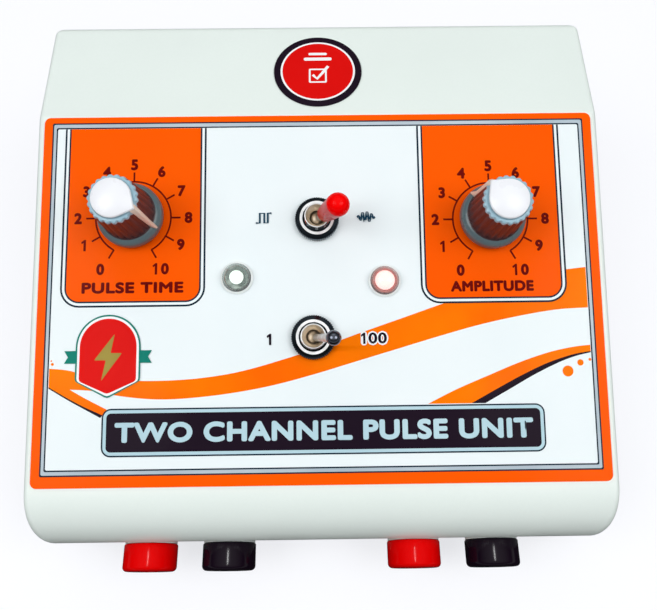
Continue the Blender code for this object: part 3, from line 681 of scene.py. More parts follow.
def case_line():
    """(point, outward direction, edge radius) along the outline seen from the side, from the foot of the
    front wall over the top to the foot of the rear wall. Points are (y, z), from the front of the nose and
    from the bottom of the tray."""
    foot = BASE_EDGE + SEAM
    out = []

    def straight(a, b, direction, radius_a, radius_b, count):
        for i in range(count + 1):
            t = i / count
            point = (a[0] + (b[0] - a[0]) * t, a[1] + (b[1] - a[1]) * t)
            out.append((Vector(point), Vector(direction), eased(radius_a, radius_b, t)))

    def bend(centre, radius, start, end, radius_a, radius_b, count):
        for i in range(1, count):
            t = i / count
            angle = math.radians(start + (end - start) * t)
            direction = Vector((math.cos(angle), math.sin(angle)))
            out.append((Vector(centre) + direction * radius, direction, eased(radius_a, radius_b, t)))

    up = (0, 1)
    slope = (-math.sin(TILT), math.cos(TILT))
    nose = Vector((NOSE_RADIUS, FRONT_HEIGHT))
    crease_reach = CREASE_ROUND * math.tan(TILT / 2)
    crease = Vector((CASE_DEPTH - TOP_DEPTH, CASE_HEIGHT))
    crease_low = crease - Vector((math.cos(TILT), math.sin(TILT))) * crease_reach
    rear = Vector((CASE_DEPTH - REAR_ROUND, CASE_HEIGHT - REAR_ROUND))
    lean = math.radians(FRONT_LEAN)
    wall_out = Vector((-math.cos(lean), -math.sin(lean)))
    straight((front_wall(foot), foot), nose + wall_out * NOSE_RADIUS, wall_out,
             FRONT_CORNER, FRONT_CORNER, 4)
    bend(nose, NOSE_RADIUS, 180 + FRONT_LEAN, 90 + PANEL_TILT, FRONT_CORNER, EDGE_ROUND, 26)
    straight(nose + Vector(slope) * NOSE_RADIUS, crease_low, slope, EDGE_ROUND, EDGE_ROUND, 10)
    bend((crease.x + crease_reach, crease.y - CREASE_ROUND), CREASE_ROUND, 90 + PANEL_TILT, 90,
         EDGE_ROUND, EDGE_ROUND, 4)
    straight((crease.x + crease_reach, crease.y), (rear.x, crease.y), up, EDGE_ROUND, EDGE_ROUND, 4)
    bend(rear, REAR_ROUND, 90, 0, EDGE_ROUND, REAR_ROUND, 8)
    full_corner = rear.y - 14
    straight((CASE_DEPTH, rear.y), (CASE_DEPTH, full_corner), (1, 0), REAR_ROUND, REAR_CORNER, 4)
    straight((CASE_DEPTH, full_corner), (CASE_DEPTH, foot), (1, 0), REAR_CORNER, REAR_CORNER, 4)
    return [p for i, p in enumerate(out) if i == 0 or (p[0] - out[i - 1][0]).length > 0.01]


def case_rows(shape, inset):
    """A row of vertices across the case for each place along its outline, drawn in by inset."""
    rows = []
    steps = 8
    half = CASE_WIDTH / 2 - inset
    for point, direction, radius in case_line():
        radius = max(radius - inset, 0.4)
        top = point - direction * inset
        row = []
        for side in (-1, 1):
            for k in range(steps + 1) if side < 0 else range(steps, -1, -1):
                angle = math.radians(90 * k / steps)
                x = side * (half - radius + radius * math.cos(angle))
                place = top - direction * radius * (1 - math.sin(angle))
                row.append(shape.verts.new((x, place.x, max(place.y, BASE_EDGE + SEAM))))
        rows.append(row)
    return rows


def cover_shell():
    shape = bmesh.new()
    outer, inner = case_rows(shape, 0), case_rows(shape, WALL)
    for rows in (outer, inner):
        for a, b in zip(rows, rows[1:]):
            for i in range(len(a) - 1):
                shape.faces.new((a[i], a[i + 1], b[i + 1], b[i]))
        shape.faces.new([row[0] for row in rows])
        shape.faces.new([row[-1] for row in rows])
    for end in (0, -1):
        for i in range(len(outer[0]) - 1):
            shape.faces.new((outer[end][i], outer[end][i + 1], inner[end][i + 1], inner[end][i]))
        shape.faces.new((outer[0][end], outer[-1][end], inner[-1][end], inner[0][end]))
    return to_mesh(shape, 60)


def corners():
    """(name, x, y) of the four corner posts, from the middle of the foot of the front wall."""
    x = CASE_WIDTH / 2 - POST_INSET[0]
    rows = (("front", POST_INSET[1]), ("rear", CASE_DEPTH - POST_INSET[1]))
    return [(f"{row}_{side}", sign * x, y) for row, y in rows for side, sign in (("left", -1), ("right", 1))]


def to_case(place):
    return CASE.inverted() @ place


def socket_places():
    half = SOCKET_SPACING / 2
    pairs = (SOCKET_ROW_MIDDLE + side * SOCKET_PAIR_OFFSET for side in (-1, 1))
    return [middle + step for middle in pairs for step in (-half, half)]


def plan(inset, setback=0.0):
    """The footprint as an outline drawn in by inset, and by more at the front."""
    x, low, high = CASE_WIDTH / 2 - inset, inset + setback, CASE_DEPTH - inset
    front, rear = max(FRONT_CORNER - inset, 0.4), max(REAR_CORNER - inset, 0.4)
    return (
        arc((x - rear, high - rear), rear, 0, 90, 8) + arc((-x + rear, high - rear), rear, 90, 180, 8)
        + arc((-x + front, low + front), front, 180, 270, 8)
        + arc((x - front, low + front), front, 270, 360, 8)
    )


def at_sockets(mesh_of):
    """(mesh, place) for each socket in the case's space, with a new mesh for each."""
    return [(mesh_of(), to_case(FRONT @ shift(x, 0))) for x in socket_places()]


def make_cover():
    cutters = [(rod(radius, -6, 3), to_case(PANEL @ shift(*place))) for place, radius in PANEL_HOLES]
    cutters += [
        (block((-10.4, -6.4, -4), (10.4, 6.4, 4)), to_case(REAR @ shift(INLET_X, 0))),
        (rod(FUSE_HOLE, -4, 4), to_case(REAR @ shift(FUSE_X, 0))),
        (block((-6.7, -9.7, -4), (6.7, 9.7, 4)), to_case(REAR @ shift(POWER_SWITCH_X, 0))),
    ]
    shell = carve(cover_shell(), "DIFFERENCE", cutters)
    posts = []
    for name, x, y in corners():
        top = FRONT_POST_TOP if name.startswith("front") else CASE_HEIGHT - 1.2
        ring = [
            (0, top), (POST_RADIUS, top), (POST_RADIUS, 2.8), (SCREW_HOLE_RADIUS, 2.8),
            (SCREW_HOLE_RADIUS, 14),
            (0, 14),
        ]
        posts.append((turned(ring, 32), shift(x, y)))
    shell = carve(shell, "UNION", posts + at_sockets(lambda: rod(SOCKET_SEAT_RADIUS, -2, -0.02)))
    seat_cuts = at_sockets(lambda: rod(SOCKET_NUT_ROOM, -6, -2.7))
    seat_cuts += at_sockets(lambda: rod(SOCKET_HOLE, -4, 4))
    shell = carve(shell, "DIFFERENCE", seat_cuts)
    return piece("top_cover_shell", shell, CASE, "case", case_ivory, "top_cover")


def make_tray():
    layers = []
    for k in range(6):
        angle = math.radians(18 * k)
        inset, height = EDGE_ROUND * (1 - math.sin(angle)), EDGE_ROUND * (1 - math.cos(angle))
        layers.append((plan(inset, front_wall(height)), height))
    lip, thick = WALL + SEAM, WALL + SEAM + LIP_THICKNESS
    setback = front_wall(BASE_EDGE, WALL) - WALL
    layers += [
        (plan(0, front_wall(BASE_EDGE)), BASE_EDGE), (plan(lip, setback), BASE_EDGE),
        (plan(lip, setback), LIP_TOP), (plan(thick, setback), LIP_TOP), (plan(thick, setback), WALL),
    ]
    collar = [(0, 7.2), (3, 7.2), (3, 2), (0, 2)]
    tray = carve(stack(layers), "UNION", [(turned(collar, 24), shift(x, y)) for x, y in STAND_OFFS])
    holes = [(rod(1.1, 3.2, 9, 16), shift(x, y)) for x, y in STAND_OFFS]
    holes += [(rod(1.9, -3, 5, 24), shift(x, y)) for _, x, y in corners()]
    for i in range(COOLING_SLOTS):
        slot_cutter = straight_stack(round_box(34, 2, 0.99, 4), -3, 5)
        holes.append((slot_cutter, shift(29, CASE_DEPTH - 23 - SLOT_STEP * i)))
    tray = carve(tray, "DIFFERENCE", holes)
    return piece("base_tray_shell", tray, CASE, "case", tray_ivory, "base_tray")


for case_shell in (make_cover(), make_tray()):
    case_shell.modifiers.new("even_normals", "WEIGHTED_NORMAL").keep_sharp = True


# ---- the printed panel ----

INK = 0.012
LAYER_GAP = 0.002
SCALE_START = -150
SCALE_STEP = 30
SCALE_RADIUS = 9.15
MARK_ENDS = (9.1, 11.5)
MARK_WIDTH = 0.42
FIGURE_REACH = 13.45
END_FIGURE_REACH = 14.6
FIGURE_HEIGHT = 2.8
RATE_FIGURE_HEIGHT = 2.7
RATE_FIGURE_Y = -10.9
ICON_Y = 18.8
ICON_WIDTH = 0.5
TITLE_PLACE = (0.5, -32.4)
BADGE_PLACE = (-50.6, -14.7)
layer_top = LABEL_TOP


def next_layer():
    """(low, high) of the next layer of ink, each a hair above the last."""
    global layer_top
    low = layer_top + LAYER_GAP
    layer_top = low + INK
    return low, layer_top


def printed(name, mesh, look):
    return piece(name, mesh, PANEL, "case", look)


def print_layer(name, outlines, look):
    """A layer of ink in the shape of the outlines."""
    printed(name, inked(outlines, *next_layer()), look)


def disc(x, y, radius):
    return moved(arc((0, 0), radius, 0, 345, 23), x, y)


def with_holes(outline):
    """The outline with the panel's holes cut through it, as outlines for inked()."""
    return [outline, *(disc(*place, radius) for place, radius in PANEL_HOLES)]


def area(left, right, bottom, top, radius=0.4):
    return moved(round_box(right - left, top - bottom, radius), (left + right) / 2, (bottom + top) / 2)


def dial_box(left, right, bottom, radius):
    """A box that hangs from the top line, with its lower corners round."""
    top = 41.95
    return [(left, top), *arc((left + radius, bottom + radius), radius, 180, 270, 8),
            *arc((right - radius, bottom + radius), radius, 270, 360, 8), (right, top)]


def ring_arc(radius, width, start, end, count):
    """Part of a ring, as a closed outline, angles clockwise from straight up."""
    outer = arc((0, 0), radius + width / 2, 90 - start, 90 - end, count)
    inner = arc((0, 0), radius - width / 2, 90 - end, 90 - start, count)
    return outer + inner


def tick(angle, inner, outer, width):
    """A short radial line, angle clockwise from straight up."""
    a = math.radians(90 - angle)
    along, across = Vector((math.cos(a), math.sin(a))), Vector((-math.sin(a), math.cos(a))) * width / 2
    ends = ((inner, across), (outer, across), (outer, -across), (inner, -across))
    return [tuple(along * reach + offset) for reach, offset in ends]


def line(points, width):
    """An open line of even width, as a closed outline."""
    pts = [Vector(p) for p in points]
    left, right = [], []
    for i, p in enumerate(pts):
        ahead = (pts[min(i + 1, len(pts) - 1)] - pts[max(i - 1, 0)]).normalized()
        side = Vector((-ahead.y, ahead.x)) * width / 2
        left.append(tuple(p + side))
        right.append(tuple(p - side))
    return left + right[::-1]


def print_frame():
    """The label's sheet, the double line round it and its white field."""
    sheet = inked(with_holes(round_box(*LABEL_SIZE, 1.5)), LABEL_BASE, LABEL_TOP)
    piece("label_sheet", sheet, PANEL, "case", ink_orange, "front_label")
    outer = [area(-65.95, 65.95, -42.35, 43.55), area(-64.0, 64.0, -40, 41)]
    print_layer("frame_lines", outer, ink_line)
    band = [area(-65.6, 65.6, -42.0, 43.2), area(-64.95, 64.95, -41.2, 42.35)]
    print_layer("frame_band", band, ink_silver)
    print_layer("white_field", with_holes(area(-64.6, 64.6, -40.85, 42.0)), ink_field)


def print_swoosh():
    """Two bands that sweep across the label, some dots, and the dark edges under the bands."""
    low, high = next_layer()
    upper = curve_through([
        (-64.5, -17.2), (-60, -17.7), (-55, -19), (-48, -20), (-40, -20.4), (-30, -20), (-20, -18.6),
        (-10, -16),
        (0, -12.9), (10, -9.4), (20, -6), (30, -2.6), (40, 0.5), (50, 3.2), (58, 5), (64.5, 5.8),
    ])
    lower = curve_through([
        (64.5, -4.1), (57, -4.5), (48, -5.9), (38, -8), (28, -10.7), (18, -13.6), (8, -16.5), (-2, -19.4),
        (-12, -21.9), (-22, -23.6), (-32, -24.6), (-40, -24.7), (-48, -23.8), (-54, -22.6), (-59.5, -22.2),
    ])
    tail = curve_through([(-59.5, -22.2), (-56, -24.2), (-50.6, -27.0)])[1:]
    under = curve_through([(-51.6, -28.3), (-56, -26.3), (-60, -24.2), (-64.5, -21.6)])
    rising = curve_through([
        (25.2, -26.6), (32, -23.3), (40, -20), (47, -17.2), (54, -14.9), (60, -13.6), (64.5, -13.1),
    ])
    falling = curve_through([(64.5, -14.6), (60, -15.4), (54, -17.3), (48, -20), (42, -23.1), (35.5, -26.6)])
    dots = [disc(*dot) for dot in (
        (58.8, -19.3, 1.3), (61.9, -17.3, 0.75), (64.2, -16.6, 0.35), (-63.8, -16.2, 0.35),
        (-64.1, -15.4, 0.2),
    )]
    bands = inked([upper + lower + tail + under, rising + falling, *dots], low, high)
    hole = (rod(SMALL_HOLE, 0, 1.2), shift(*RATE_SWITCH))
    printed("swoosh", carve(bands, "DIFFERENCE", [hole]), ink_swoosh)
    shade = falling + curve_through([
        (38.8, -26.6), (45, -23.2), (51, -19.9), (57, -17.1), (61, -15.7), (64.5, -14.9),
    ])
    tail_shade = under + curve_through([(-64.5, -21.9), (-60, -24.6), (-56, -26.8), (-52.1, -28.9)])
    print_layer("swoosh_shade", [shade, tail_shade], ink_plate)


def print_dial_boxes():
    """The orange box behind each dial, with a double outline."""
    sides = ((-61.2, -29.2), (25.8, 58.3))
    holes = [disc(*place, DIAL_HOLE) for place in (DURATION_DIAL, INTENSITY_DIAL)]
    for name, margin, look in (
        ("box_lines", 1.45, ink_line), ("box_bands", 1.0, ink_field), ("box_edges", 0.4, ink_line),
        ("boxes", 0.0, ink_orange),
    ):
        bottom, radius = -1.25 - margin, 3.2 + margin
        boxes = [dial_box(left - margin, right + margin, bottom, radius) for left, right in sides]
        print_layer(name, boxes + holes, look)


def print_scales():
    """Each dial's ring, marks and figures from 0 to 10, clockwise, and the word under it."""
    rings, marks = [], []
    words = [("PULSE TIME", -45.2, 2.0, 2.75, 24.5), ("AMPLITUDE", 41.6, 1.4, 2.65, 20.1)]
    for place in (DURATION_DIAL, INTENSITY_DIAL):
        rings.append(moved(ring_arc(SCALE_RADIUS, 0.4, SCALE_START, -SCALE_START, 60), *place))
        for i in range(11):
            clockwise = SCALE_START + SCALE_STEP * i
            marks.append(moved(tick(clockwise, *MARK_ENDS, MARK_WIDTH), *place))
            angle = math.radians(clockwise)
            reach = FIGURE_REACH if 0 < i < 10 else END_FIGURE_REACH
            x, y = place[0] + reach * math.sin(angle), place[1] + reach * math.cos(angle)
            x -= 0.4 if i in (0, 10) else 0
            if i in (1, 10):
                marks.append(one(x - (1.15 if i == 10 else 0), y, FIGURE_HEIGHT))
            if i != 1:
                words.append((str(i)[-1], x + (1.0 if i == 10 else 0), y, FIGURE_HEIGHT, None))
    print_layer("dial_rings", rings, ink_maroon)
    print_layer("dial_ticks", marks, ink_maroon)
    printed("dial_numbers", lettering(words, *next_layer(), 0.18), ink_maroon)


def print_title():
    """The dark plate, with a double outline and the title on it."""
    width, height = 104.4, 11.2
    for name, margin, look in (
        ("plate_line", 0, ink_line), ("plate_band", 0.35, ink_letters), ("plate", 1.1, ink_plate),
    ):
        outline = round_box(width - 2 * margin, height - 2 * margin, 2.2 - margin)
        print_layer(name, [moved(outline, *TITLE_PLACE)], look)
    title = [("TWO CHANNEL PULSE UNIT", 0.6, TITLE_PLACE[1], 4.75, 98.4)]
    printed("plate_letters", lettering(title, *next_layer(), 0.3), ink_letters)


def print_switch_marks():
    """The figures 1 and 100 beside the lower switch, and a pulse and a surge beside the upper one."""
    low, high = next_layer()
    printed("rate_halo", lettering([("00", 13.6, RATE_FIGURE_Y, 3.4, 5.1)], low, high, 0.42), ink_white)
    halo = moved(round_box(1.5, 3.4, 0.7), 10.3, RATE_FIGURE_Y)
    printed("rate_halo_one", inked([halo], low, high), ink_white)
    low, high = next_layer()
    ones = [one(x, RATE_FIGURE_Y, RATE_FIGURE_HEIGHT) for x in (-12.1, 10.4)]
    printed("rate_ones", inked(ones, low, high), ink_plate)
    noughts = [("00", 13.6, RATE_FIGURE_Y, RATE_FIGURE_HEIGHT, 4.4)]
    printed("rate_noughts", lettering(noughts, low, high, 0.12), ink_plate)
    pulse = [
        (-1.9, -1.2), (-0.95, -1.2), (-0.95, 1.2), (0.15, 1.2), (0.15, -1.2), (1.0, -1.2), (1.0, 1.2),
        (1.9, 1.2),
    ]
    swings = [math.sin(math.pi * i / 40) * math.sin(math.tau * i / 10) for i in range(41)]
    surge = [(-2.2 + 4.4 * i / 40, 1.35 * swing) for i, swing in enumerate(swings)]
    icons = [moved(line(pulse, ICON_WIDTH), -13.6, ICON_Y), moved(line(surge, ICON_WIDTH), 11.4, ICON_Y)]
    printed("mode_marks", inked(icons, low, high), ink_teal)


def print_badge():
    """A shield with a bolt on it, and a ribbon end at each side."""
    low, high = next_layer()
    for side in (-1, 1):
        ribbon = [(side * x, y) for x, y in ((6.4, 1.6), (10.4, 1.6), (9.5, 0.1), (10.4, -1.4), (6.4, -1.4))]
        mesh = inked([moved(ribbon, *BADGE_PLACE)], low, high)
        printed(f"badge_ribbon_{side + 1}", mesh, ink_green)
    for name, margin, look in (
        ("badge_ring", 0, ink_green), ("badge_white", 0.4, ink_white), ("badge", 0.95, ink_red),
    ):
        half = 7.7 - margin
        shield = arc((0, 2.5), half, 180, 0, 24) + [(half, -5.6), (0, -9.7 + margin * 1.1), (-half, -5.6)]
        print_layer(name, [moved(soften(shield, 0.6, closed=True, steps=2), *BADGE_PLACE)], look)
    bolt = [(1.5, 5.6), (-3.3, -0.7), (-0.5, -0.7), (-1.5, -5.6), (3.3, 1.0), (0.6, 1.0)]
    print_layer("badge_bolt", [moved(soften(bolt, 0.3, closed=True, steps=2), *BADGE_PLACE)], ink_gold)


def make_sticker():
    """A round sticker on the top strip: a black rim, a white ring, and a red disc with bars and a ticked
    box."""
    place = CASE @ shift(0, CASE_DEPTH - TOP_DEPTH + STICKER_BEHIND_CREASE, CASE_HEIGHT)
    edge = [(0, STICKER_TOP), (STICKER_RADIUS, STICKER_TOP), (STICKER_RADIUS, 0.05), (0, 0.05)]
    base = turned(soften(edge, 0.06), 96)
    piece("sticker_base", base, place, "case", ink_plate, "round_sticker")
    square = [moved(round_box(4.6, 4.6, 0.4), 0, -1.6), moved(round_box(3.7, 3.7, 0.2), 0, -1.6)]
    check = moved(line([(-1.3, 0.3), (-0.2, -1.0), (1.2, 0.9), (2.7, 3.1)], 0.75), 0, -1.6)
    bars = [area(-3.6, 3.6, 3.4, 4.4, 0.4), area(-2.4, 2.4, 5.2, 6.0, 0.35)]
    low, high = STICKER_TOP + 0.002, STICKER_TOP + 0.006
    for name, outlines, look in (
        ("sticker_ring", [arc((0, 0), 9.6, 0, 355, 71)], ink_white),
        ("sticker_disc", [arc((0, 0), 9.1, 0, 355, 71)], ink_red),
        ("sticker_box", square, ink_white), ("sticker_tick", [check, *bars], ink_white),
    ):
        piece(name, inked(outlines, low, high), place, "case", look)
        low, high = high + 0.001, high + 0.005


print_frame()
print_swoosh()
print_dial_boxes()
print_scales()
print_title()
print_switch_marks()
print_badge()
make_sticker()


# ---- the dials ----


def teardrop(radius, tip, count=40):
    """A circle with one corner drawn out to the tip, along +Y."""
    touch = math.degrees(math.acos(radius / tip))
    return [*arc((0, 0), radius, 90 + touch, 450 - touch, count), (0, tip)]


def pointer():
    """The ridge that runs from the cap's tip down the grip to the skirt: wide and flat at the top, thin
    below."""
    shape = bmesh.new()
    loops = []
    for reach, height, half, proud in (
        (4.3, 18.3, 1.05, 0.35), (5.45, 18.1, 1.1, 0.45), (5.85, 17.5, 1.1, 0.6), (6.2, 12, 0.95, 0.6),
        (6.65, 7.2, 0.75, 0.55), (7.3, 5.4, 0.6, 0.45), (7.75, 4.6, 0.4, 0.3),
    ):
        back = reach - 0.9
        across = (
            (-half, back, height - 0.5), (-half * 0.75, reach - 0.12, height),
            (0, reach + proud * 0.6, height + proud * 0.25),
            (half * 0.75, reach - 0.12, height), (half, back, height - 0.5),
        )
        loops.append([shape.verts.new(point) for point in across])
    capped(shape, loops)
    return to_mesh(shape, 30)


def soft_edges(obj, width, segments=1):
    bevel = obj.modifiers.new("soft_edges", "BEVEL")
    bevel.width = width * mm
    bevel.segments = segments


def dial(name, at, angle, body):
    """A fluted knob with its cap and pointer, which turn, and the nut under it, which doesn't."""
    seat = PANEL @ shift(*at)
    place = seat @ turn(-angle, "Z")
    low, high = GRIP_RADII
    top = KNOB_TOP

    def grip_radius(height):
        return low + (high - low) * (height - 5) / (top - 5)

    rib = 0.32
    profile = [
        (0, top), (3, top), (high - 0.75, top), (high - 0.35, top - 0.05, 0.16),
        (high - 0.08, top - 0.22, rib),
        (high, top - 0.5, rib), (grip_radius(top - 1), top - 1, rib),
    ]
    profile += [(grip_radius(h), h, rib) for h in (15, 12.5, 10, 8, 6.6)]
    profile += [
        (grip_radius(5.9), 5.9, 0.3), (grip_radius(5.5), 5.5, 0.08), (6.6, 5.38), (6.85, 5.3), (7.25, 5.0),
        (7.65, 4.5), (7.8, 4.15), (SKIRT_RADIUS, 3.8), (SKIRT_RADIUS, 2.5), (7.78, 2.28), (7.6, KNOB_FOOT),
        (6.5, KNOB_FOOT), (6.3, 2.4), (6.3, 3.4), (3.1, 3.4), (3.1, 16.3), (0, 16.3),
    ]
    looks = [knob_grey, skirt_grey, rim_painted_highlight]
    knob = piece(f"{name}_knob_shell", turned(profile, FLUTES * 12, FLUTES), place, body, looks,
                 f"{name}_knob")
    paint(knob, 1, lambda middle: middle.z < 5.42)
    # The flat top rim is painted pale blue as a painted highlight.
    paint(knob, 2, lambda middle: middle.z > top - 0.75 and middle.xy.length > 2)

    cap = [teardrop(radius, tip) for radius, tip in ((4.5, 5.8), (4.45, 5.7), (4.3, 5.5))]
    under = teardrop(4.65, 5.9)
    plateau = stack([
        (under, top + 0.02), (under, top + 0.3), (cap[0], top + 0.55), (cap[1], top + 0.85),
        (cap[2], top + 1.02),
    ], 50)
    drop = piece(f"{name}_cap_drop", plateau, place, body, [cap_white, rim_painted_highlight],
                 f"{name}_knob_cap")
    # The foot of the cap's plateau carries the same painted highlight as the rim.
    paint(drop, 1, lambda middle: middle.z < top + 0.5)
    ridge = piece(f"{name}_pointer", pointer(), place, body, pointer_cream)
    soft_edges(ridge, 0.12)

    nut = straight_stack(arc((0, 0), 5.77, 0, 300, 5), 0.5, 2.6)
    nut = carve(nut, "DIFFERENCE", [(rod(3.6, 0, 4), HERE)])
    hexagon = piece(f"{name}_hex_nut", nut, seat, "case", bright_metal, f"{name}_pot_nut")
    soft_edges(hexagon, 0.15)


dial("duration", DURATION_DIAL, DURATION_ANGLE, "duration_dial")
dial("intensity", INTENSITY_DIAL, INTENSITY_ANGLE, "intensity_dial")


# ---- the toggle switches ----


def threads(radius, low, high, pitch=0.5, depth=0.14):
    """Points down the outside of a stack of rings that stands for a screw thread."""
    count = round((high - low) / pitch)
    step = (high - low) / count
    out = []
    for i in range(count):
        top = high - i * step
        out += [(radius - depth, top), (radius, top - step * 0.35), (radius, top - step * 0.6)]
    return [*out, (radius - depth, low)]


def toggle(name, at, twist, body, ball, ball_look):
    """A toggle switch's bushing, dress nut and lever; returns the place the lever is drawn in."""
    seat = PANEL @ shift(*at) @ turn(twist, "Z")
    tube = [
        *arc((2.84, 5.1), 0.1, 0, 90, 3)[::-1], *threads(THREAD_RADIUS, 0.6, 4.9), (THREAD_RADIUS, 0.5),
        (THREAD_RADIUS, -2.7), (6, -2.7), (6, -3.2), (2.35, -3.2), (2.35, 2.2), (1.8, 2.6), (1.76, 2.75),
        (2.66, 5.1), (2.74, 5.2),
    ]
    thread = piece(f"{name}_thread", turned(tube, 64), seat, "case", [chrome, satin_chrome_and_highlight, cream_metal],
                   f"{name}_bushing")
    paint(thread, 1, lambda middle: middle.z > 5.1)
    paint(thread, 2, lambda middle: 2.3 < middle.z < 5.1 and middle.xy.length < 2.5)
    ring = [
        (3.12, 2.6), (3.4, 2.75), (3.5, 2.95), (4.15, 2.95), (4.2, 2.82), (4.55, 2.6), (5.05, 2.35, 0.0),
        (5.25, 2.2, 0.1), (5.35, 2.0, 0.16), (5.35, 0.75, 0.16), (5.25, 0.55, 0.1), (5.0, 0.5), (3.12, 0.5),
    ]
    nut = piece(f"{name}_dress_nut", turned(ring, 60 * 6, 60, 25), seat, "case", [nut_chrome_painted_dark, satin_chrome_and_highlight],
                f"{name}_nut")
    # One chrome nut, its sloped outside painted dark as a painted reflection and its flat top bright as a
    # painted highlight.
    paint(nut, 1, lambda middle: middle.z > 2.9)

    pivot = seat @ shift(0, 0, PIVOT_HEIGHT) @ turn(LEVER_TILT, "Y")
    tip = LEVER_LENGTH
    bat = [
        (0, tip), *arc((0, tip - ball), ball, 90, -40, 12)[1:], (1.0, tip - 1.9 * ball), (0.98, tip - 4),
        (0.85, 2.2), *arc((0, 0), 2.05, 60, -60, 10), (0.7, -2.0), (0.7, -5.0), (0, -5.2),
    ]
    lever = piece(f"{name}_bat", turned(bat, 48), pivot, body, [ball_look, cream_metal, satin_chrome_and_highlight],
                  f"{name}_lever")
    paint(lever, 1, lambda middle: middle.z < 2.3)
    paint(lever, 2, lambda middle: 2.3 <= middle.z < tip - 1.9 * ball)
    return pivot


def lever_cap(pivot):
    """The red sleeve pushed over the upper lever, narrower towards its open end."""
    tip = LEVER_LENGTH + 1.2
    radius = LEVER_CAP_RADIUS
    outside = [(0, tip), *arc((0, tip - radius), radius, 90, -5, 14)[1:], (2.35, 9), (1.95, 5.8), (1.87, 5.6)]
    inside = [(1.68, 5.6), (1.62, 5.8), (1.6, tip - 1.2), (1.4, tip - 1.0), (0, tip - 1.0)]
    sleeve = piece("mode_toggle_sleeve", turned(outside + inside, 48), pivot, "mode_lever",
                   [red_gloss, red_sleeve_painted_shade], "mode_toggle_cap")
    # The sides below the round tip are painted in the darker red: painted shade.
    paint(sleeve, 1, lambda middle: middle.z < tip - radius)


lever_cap(toggle("mode_toggle", MODE_SWITCH, 0, "mode_lever", MODE_LEVER_BALL, chrome))
toggle("rate_toggle", RATE_SWITCH, RATE_SWITCH_TURN, "rate_lever", RATE_LEVER_BALL, ball_chrome)


# ---- the indicator lamps ----


def lamp(name, at, lens_look, die_look, cup_look, wide):
    """A clear domed lens over a reflector cup, with the lit die in the middle."""
    seat = PANEL @ shift(*at)
    lens = [
        (0, 4.35), (0.8, 4.28), (1.6, 4.02), (2.3, 3.6), (2.85, 3.0), (3.25, 2.3), (3.45, 1.6), (3.5, 1.1),
        (3.85, 1.02), (4.0, 0.9), (4.0, 0.62), (3.9, 0.55), (3.0, 0.55), (3.0, -5.5), (2.75, -5.5),
        (2.75, 1.0),
        (2.95, 1.5), (2.6, 2.35), (1.9, 2.95), (1.0, 3.3), (0, 3.4),
    ]
    dome = piece(f"{name}_dome", turned(lens, 64), seat, "case", [lens_look, lens_flange],
                 f"{name}_lens")
    paint(dome, 1, lambda middle: middle.z > 0.5 and middle.xy.length > 3.5)
    die = [
        (0, 2.9), (0.45 * wide, 2.85), (0.75 * wide, 2.6), (0.94 * wide, 2.1), (wide, 1.5), (wide, 0.9),
        (wide + 0.15, 0.95), (2.6, 1.25), (2.68, 1.2), (2.68, -6), (2.9, -6), (2.9, -7), (0, -7),
    ]
    led = piece(f"{name}_die", turned(die, 48), seat, "case", [die_look, cup_look], f"{name}_led")
    paint(led, 1, lambda middle: middle.z < 1.3 or middle.xy.length > wide)


lamp("power_lamp", POWER_LAMP, clear_lens, clear_die, clear_cup, 1.6)
lamp("pulse_lamp", PULSE_LAMP, pink_lens, pink_die, pink_cup, 2.25)


# ---- the output sockets ----


def socket(name, x, look, slot):
    """A socket's moulded head and the metal barrel in it, closed at its far end."""
    seat = FRONT @ shift(x, 0)
    reach, radius, bore = SOCKET_REACH, SOCKET_RADIUS, SOCKET_BORE
    rim = arc((radius - 1.1, reach - 1.1), 1.1, 90, 0, 6)
    head = [
        (2.5, reach), *rim, (radius, 0.45), (radius - 0.1, 0.2), (radius - 0.3, 0.1), (4.1, 0.1), (4.1, -2.4),
        (3.15, -2.4), (3.15, reach - 1.5), (2.3, reach - 1.5), (2.3, reach - 0.15),
    ]
    piece(f"{name}_moulding", turned(head, 72), seat, "case", look, f"{name}_head")
    barrel = [
        (0, -11), (bore, -11), (bore, reach - 2.1), (bore + 0.2, reach - 1.8), (2.9, reach - 1.8),
        (3.0, reach - 1.95), (3.0, -13.5), (1.6, -13.5), (1.6, -17), (0, -17),
    ]
    piece(f"{name}_tube", turned(barrel, 48), seat, "case", nickel, f"{name}_barrel")


SOCKETS = (
    ("socket_a_red", red_gloss, "red_plastic"), ("socket_a_black", black_gloss, "black_plastic"),
    ("socket_b_red", red_gloss, "red_plastic"), ("socket_b_black", black_gloss, "black_plastic"),
)
for socket_x, (socket_name, socket_look, socket_slot) in zip(socket_places(), SOCKETS):
    socket(socket_name, socket_x, socket_look, socket_slot)


# ---- the rear wall ----


def mains_inlet():
    place = REAR @ shift(INLET_X, 0)
    rim = round_box(26, 16, 2.5)
    mouth = round_box(16, 9, 4.49)
    flange = carve(slab(rim, 0.1, 2.1, 0.5), "UNION", [(block((-10, -6, -14), (10, 6, 1)), HERE)])
    recess = stack([(mouth, -11.5), (mouth, 1.7), ([(x * 1.05, y * 1.08) for x, y in mouth], 2.4)])
    flange = carve(flange, "DIFFERENCE", [(recess, HERE)])
    piece("inlet_moulding", flange, place, "case", black_plastic, "mains_inlet")
    for i, side in enumerate((-1, 1)):
        pin = turned(soften([(0, -0.5), (1.2, -0.5), (1.2, -12.6), (0, -12.6)], 0.5), 32)
        piece(f"inlet_pin_{i}", pin, place @ shift(4.3 * side, 0), "case", nickel)


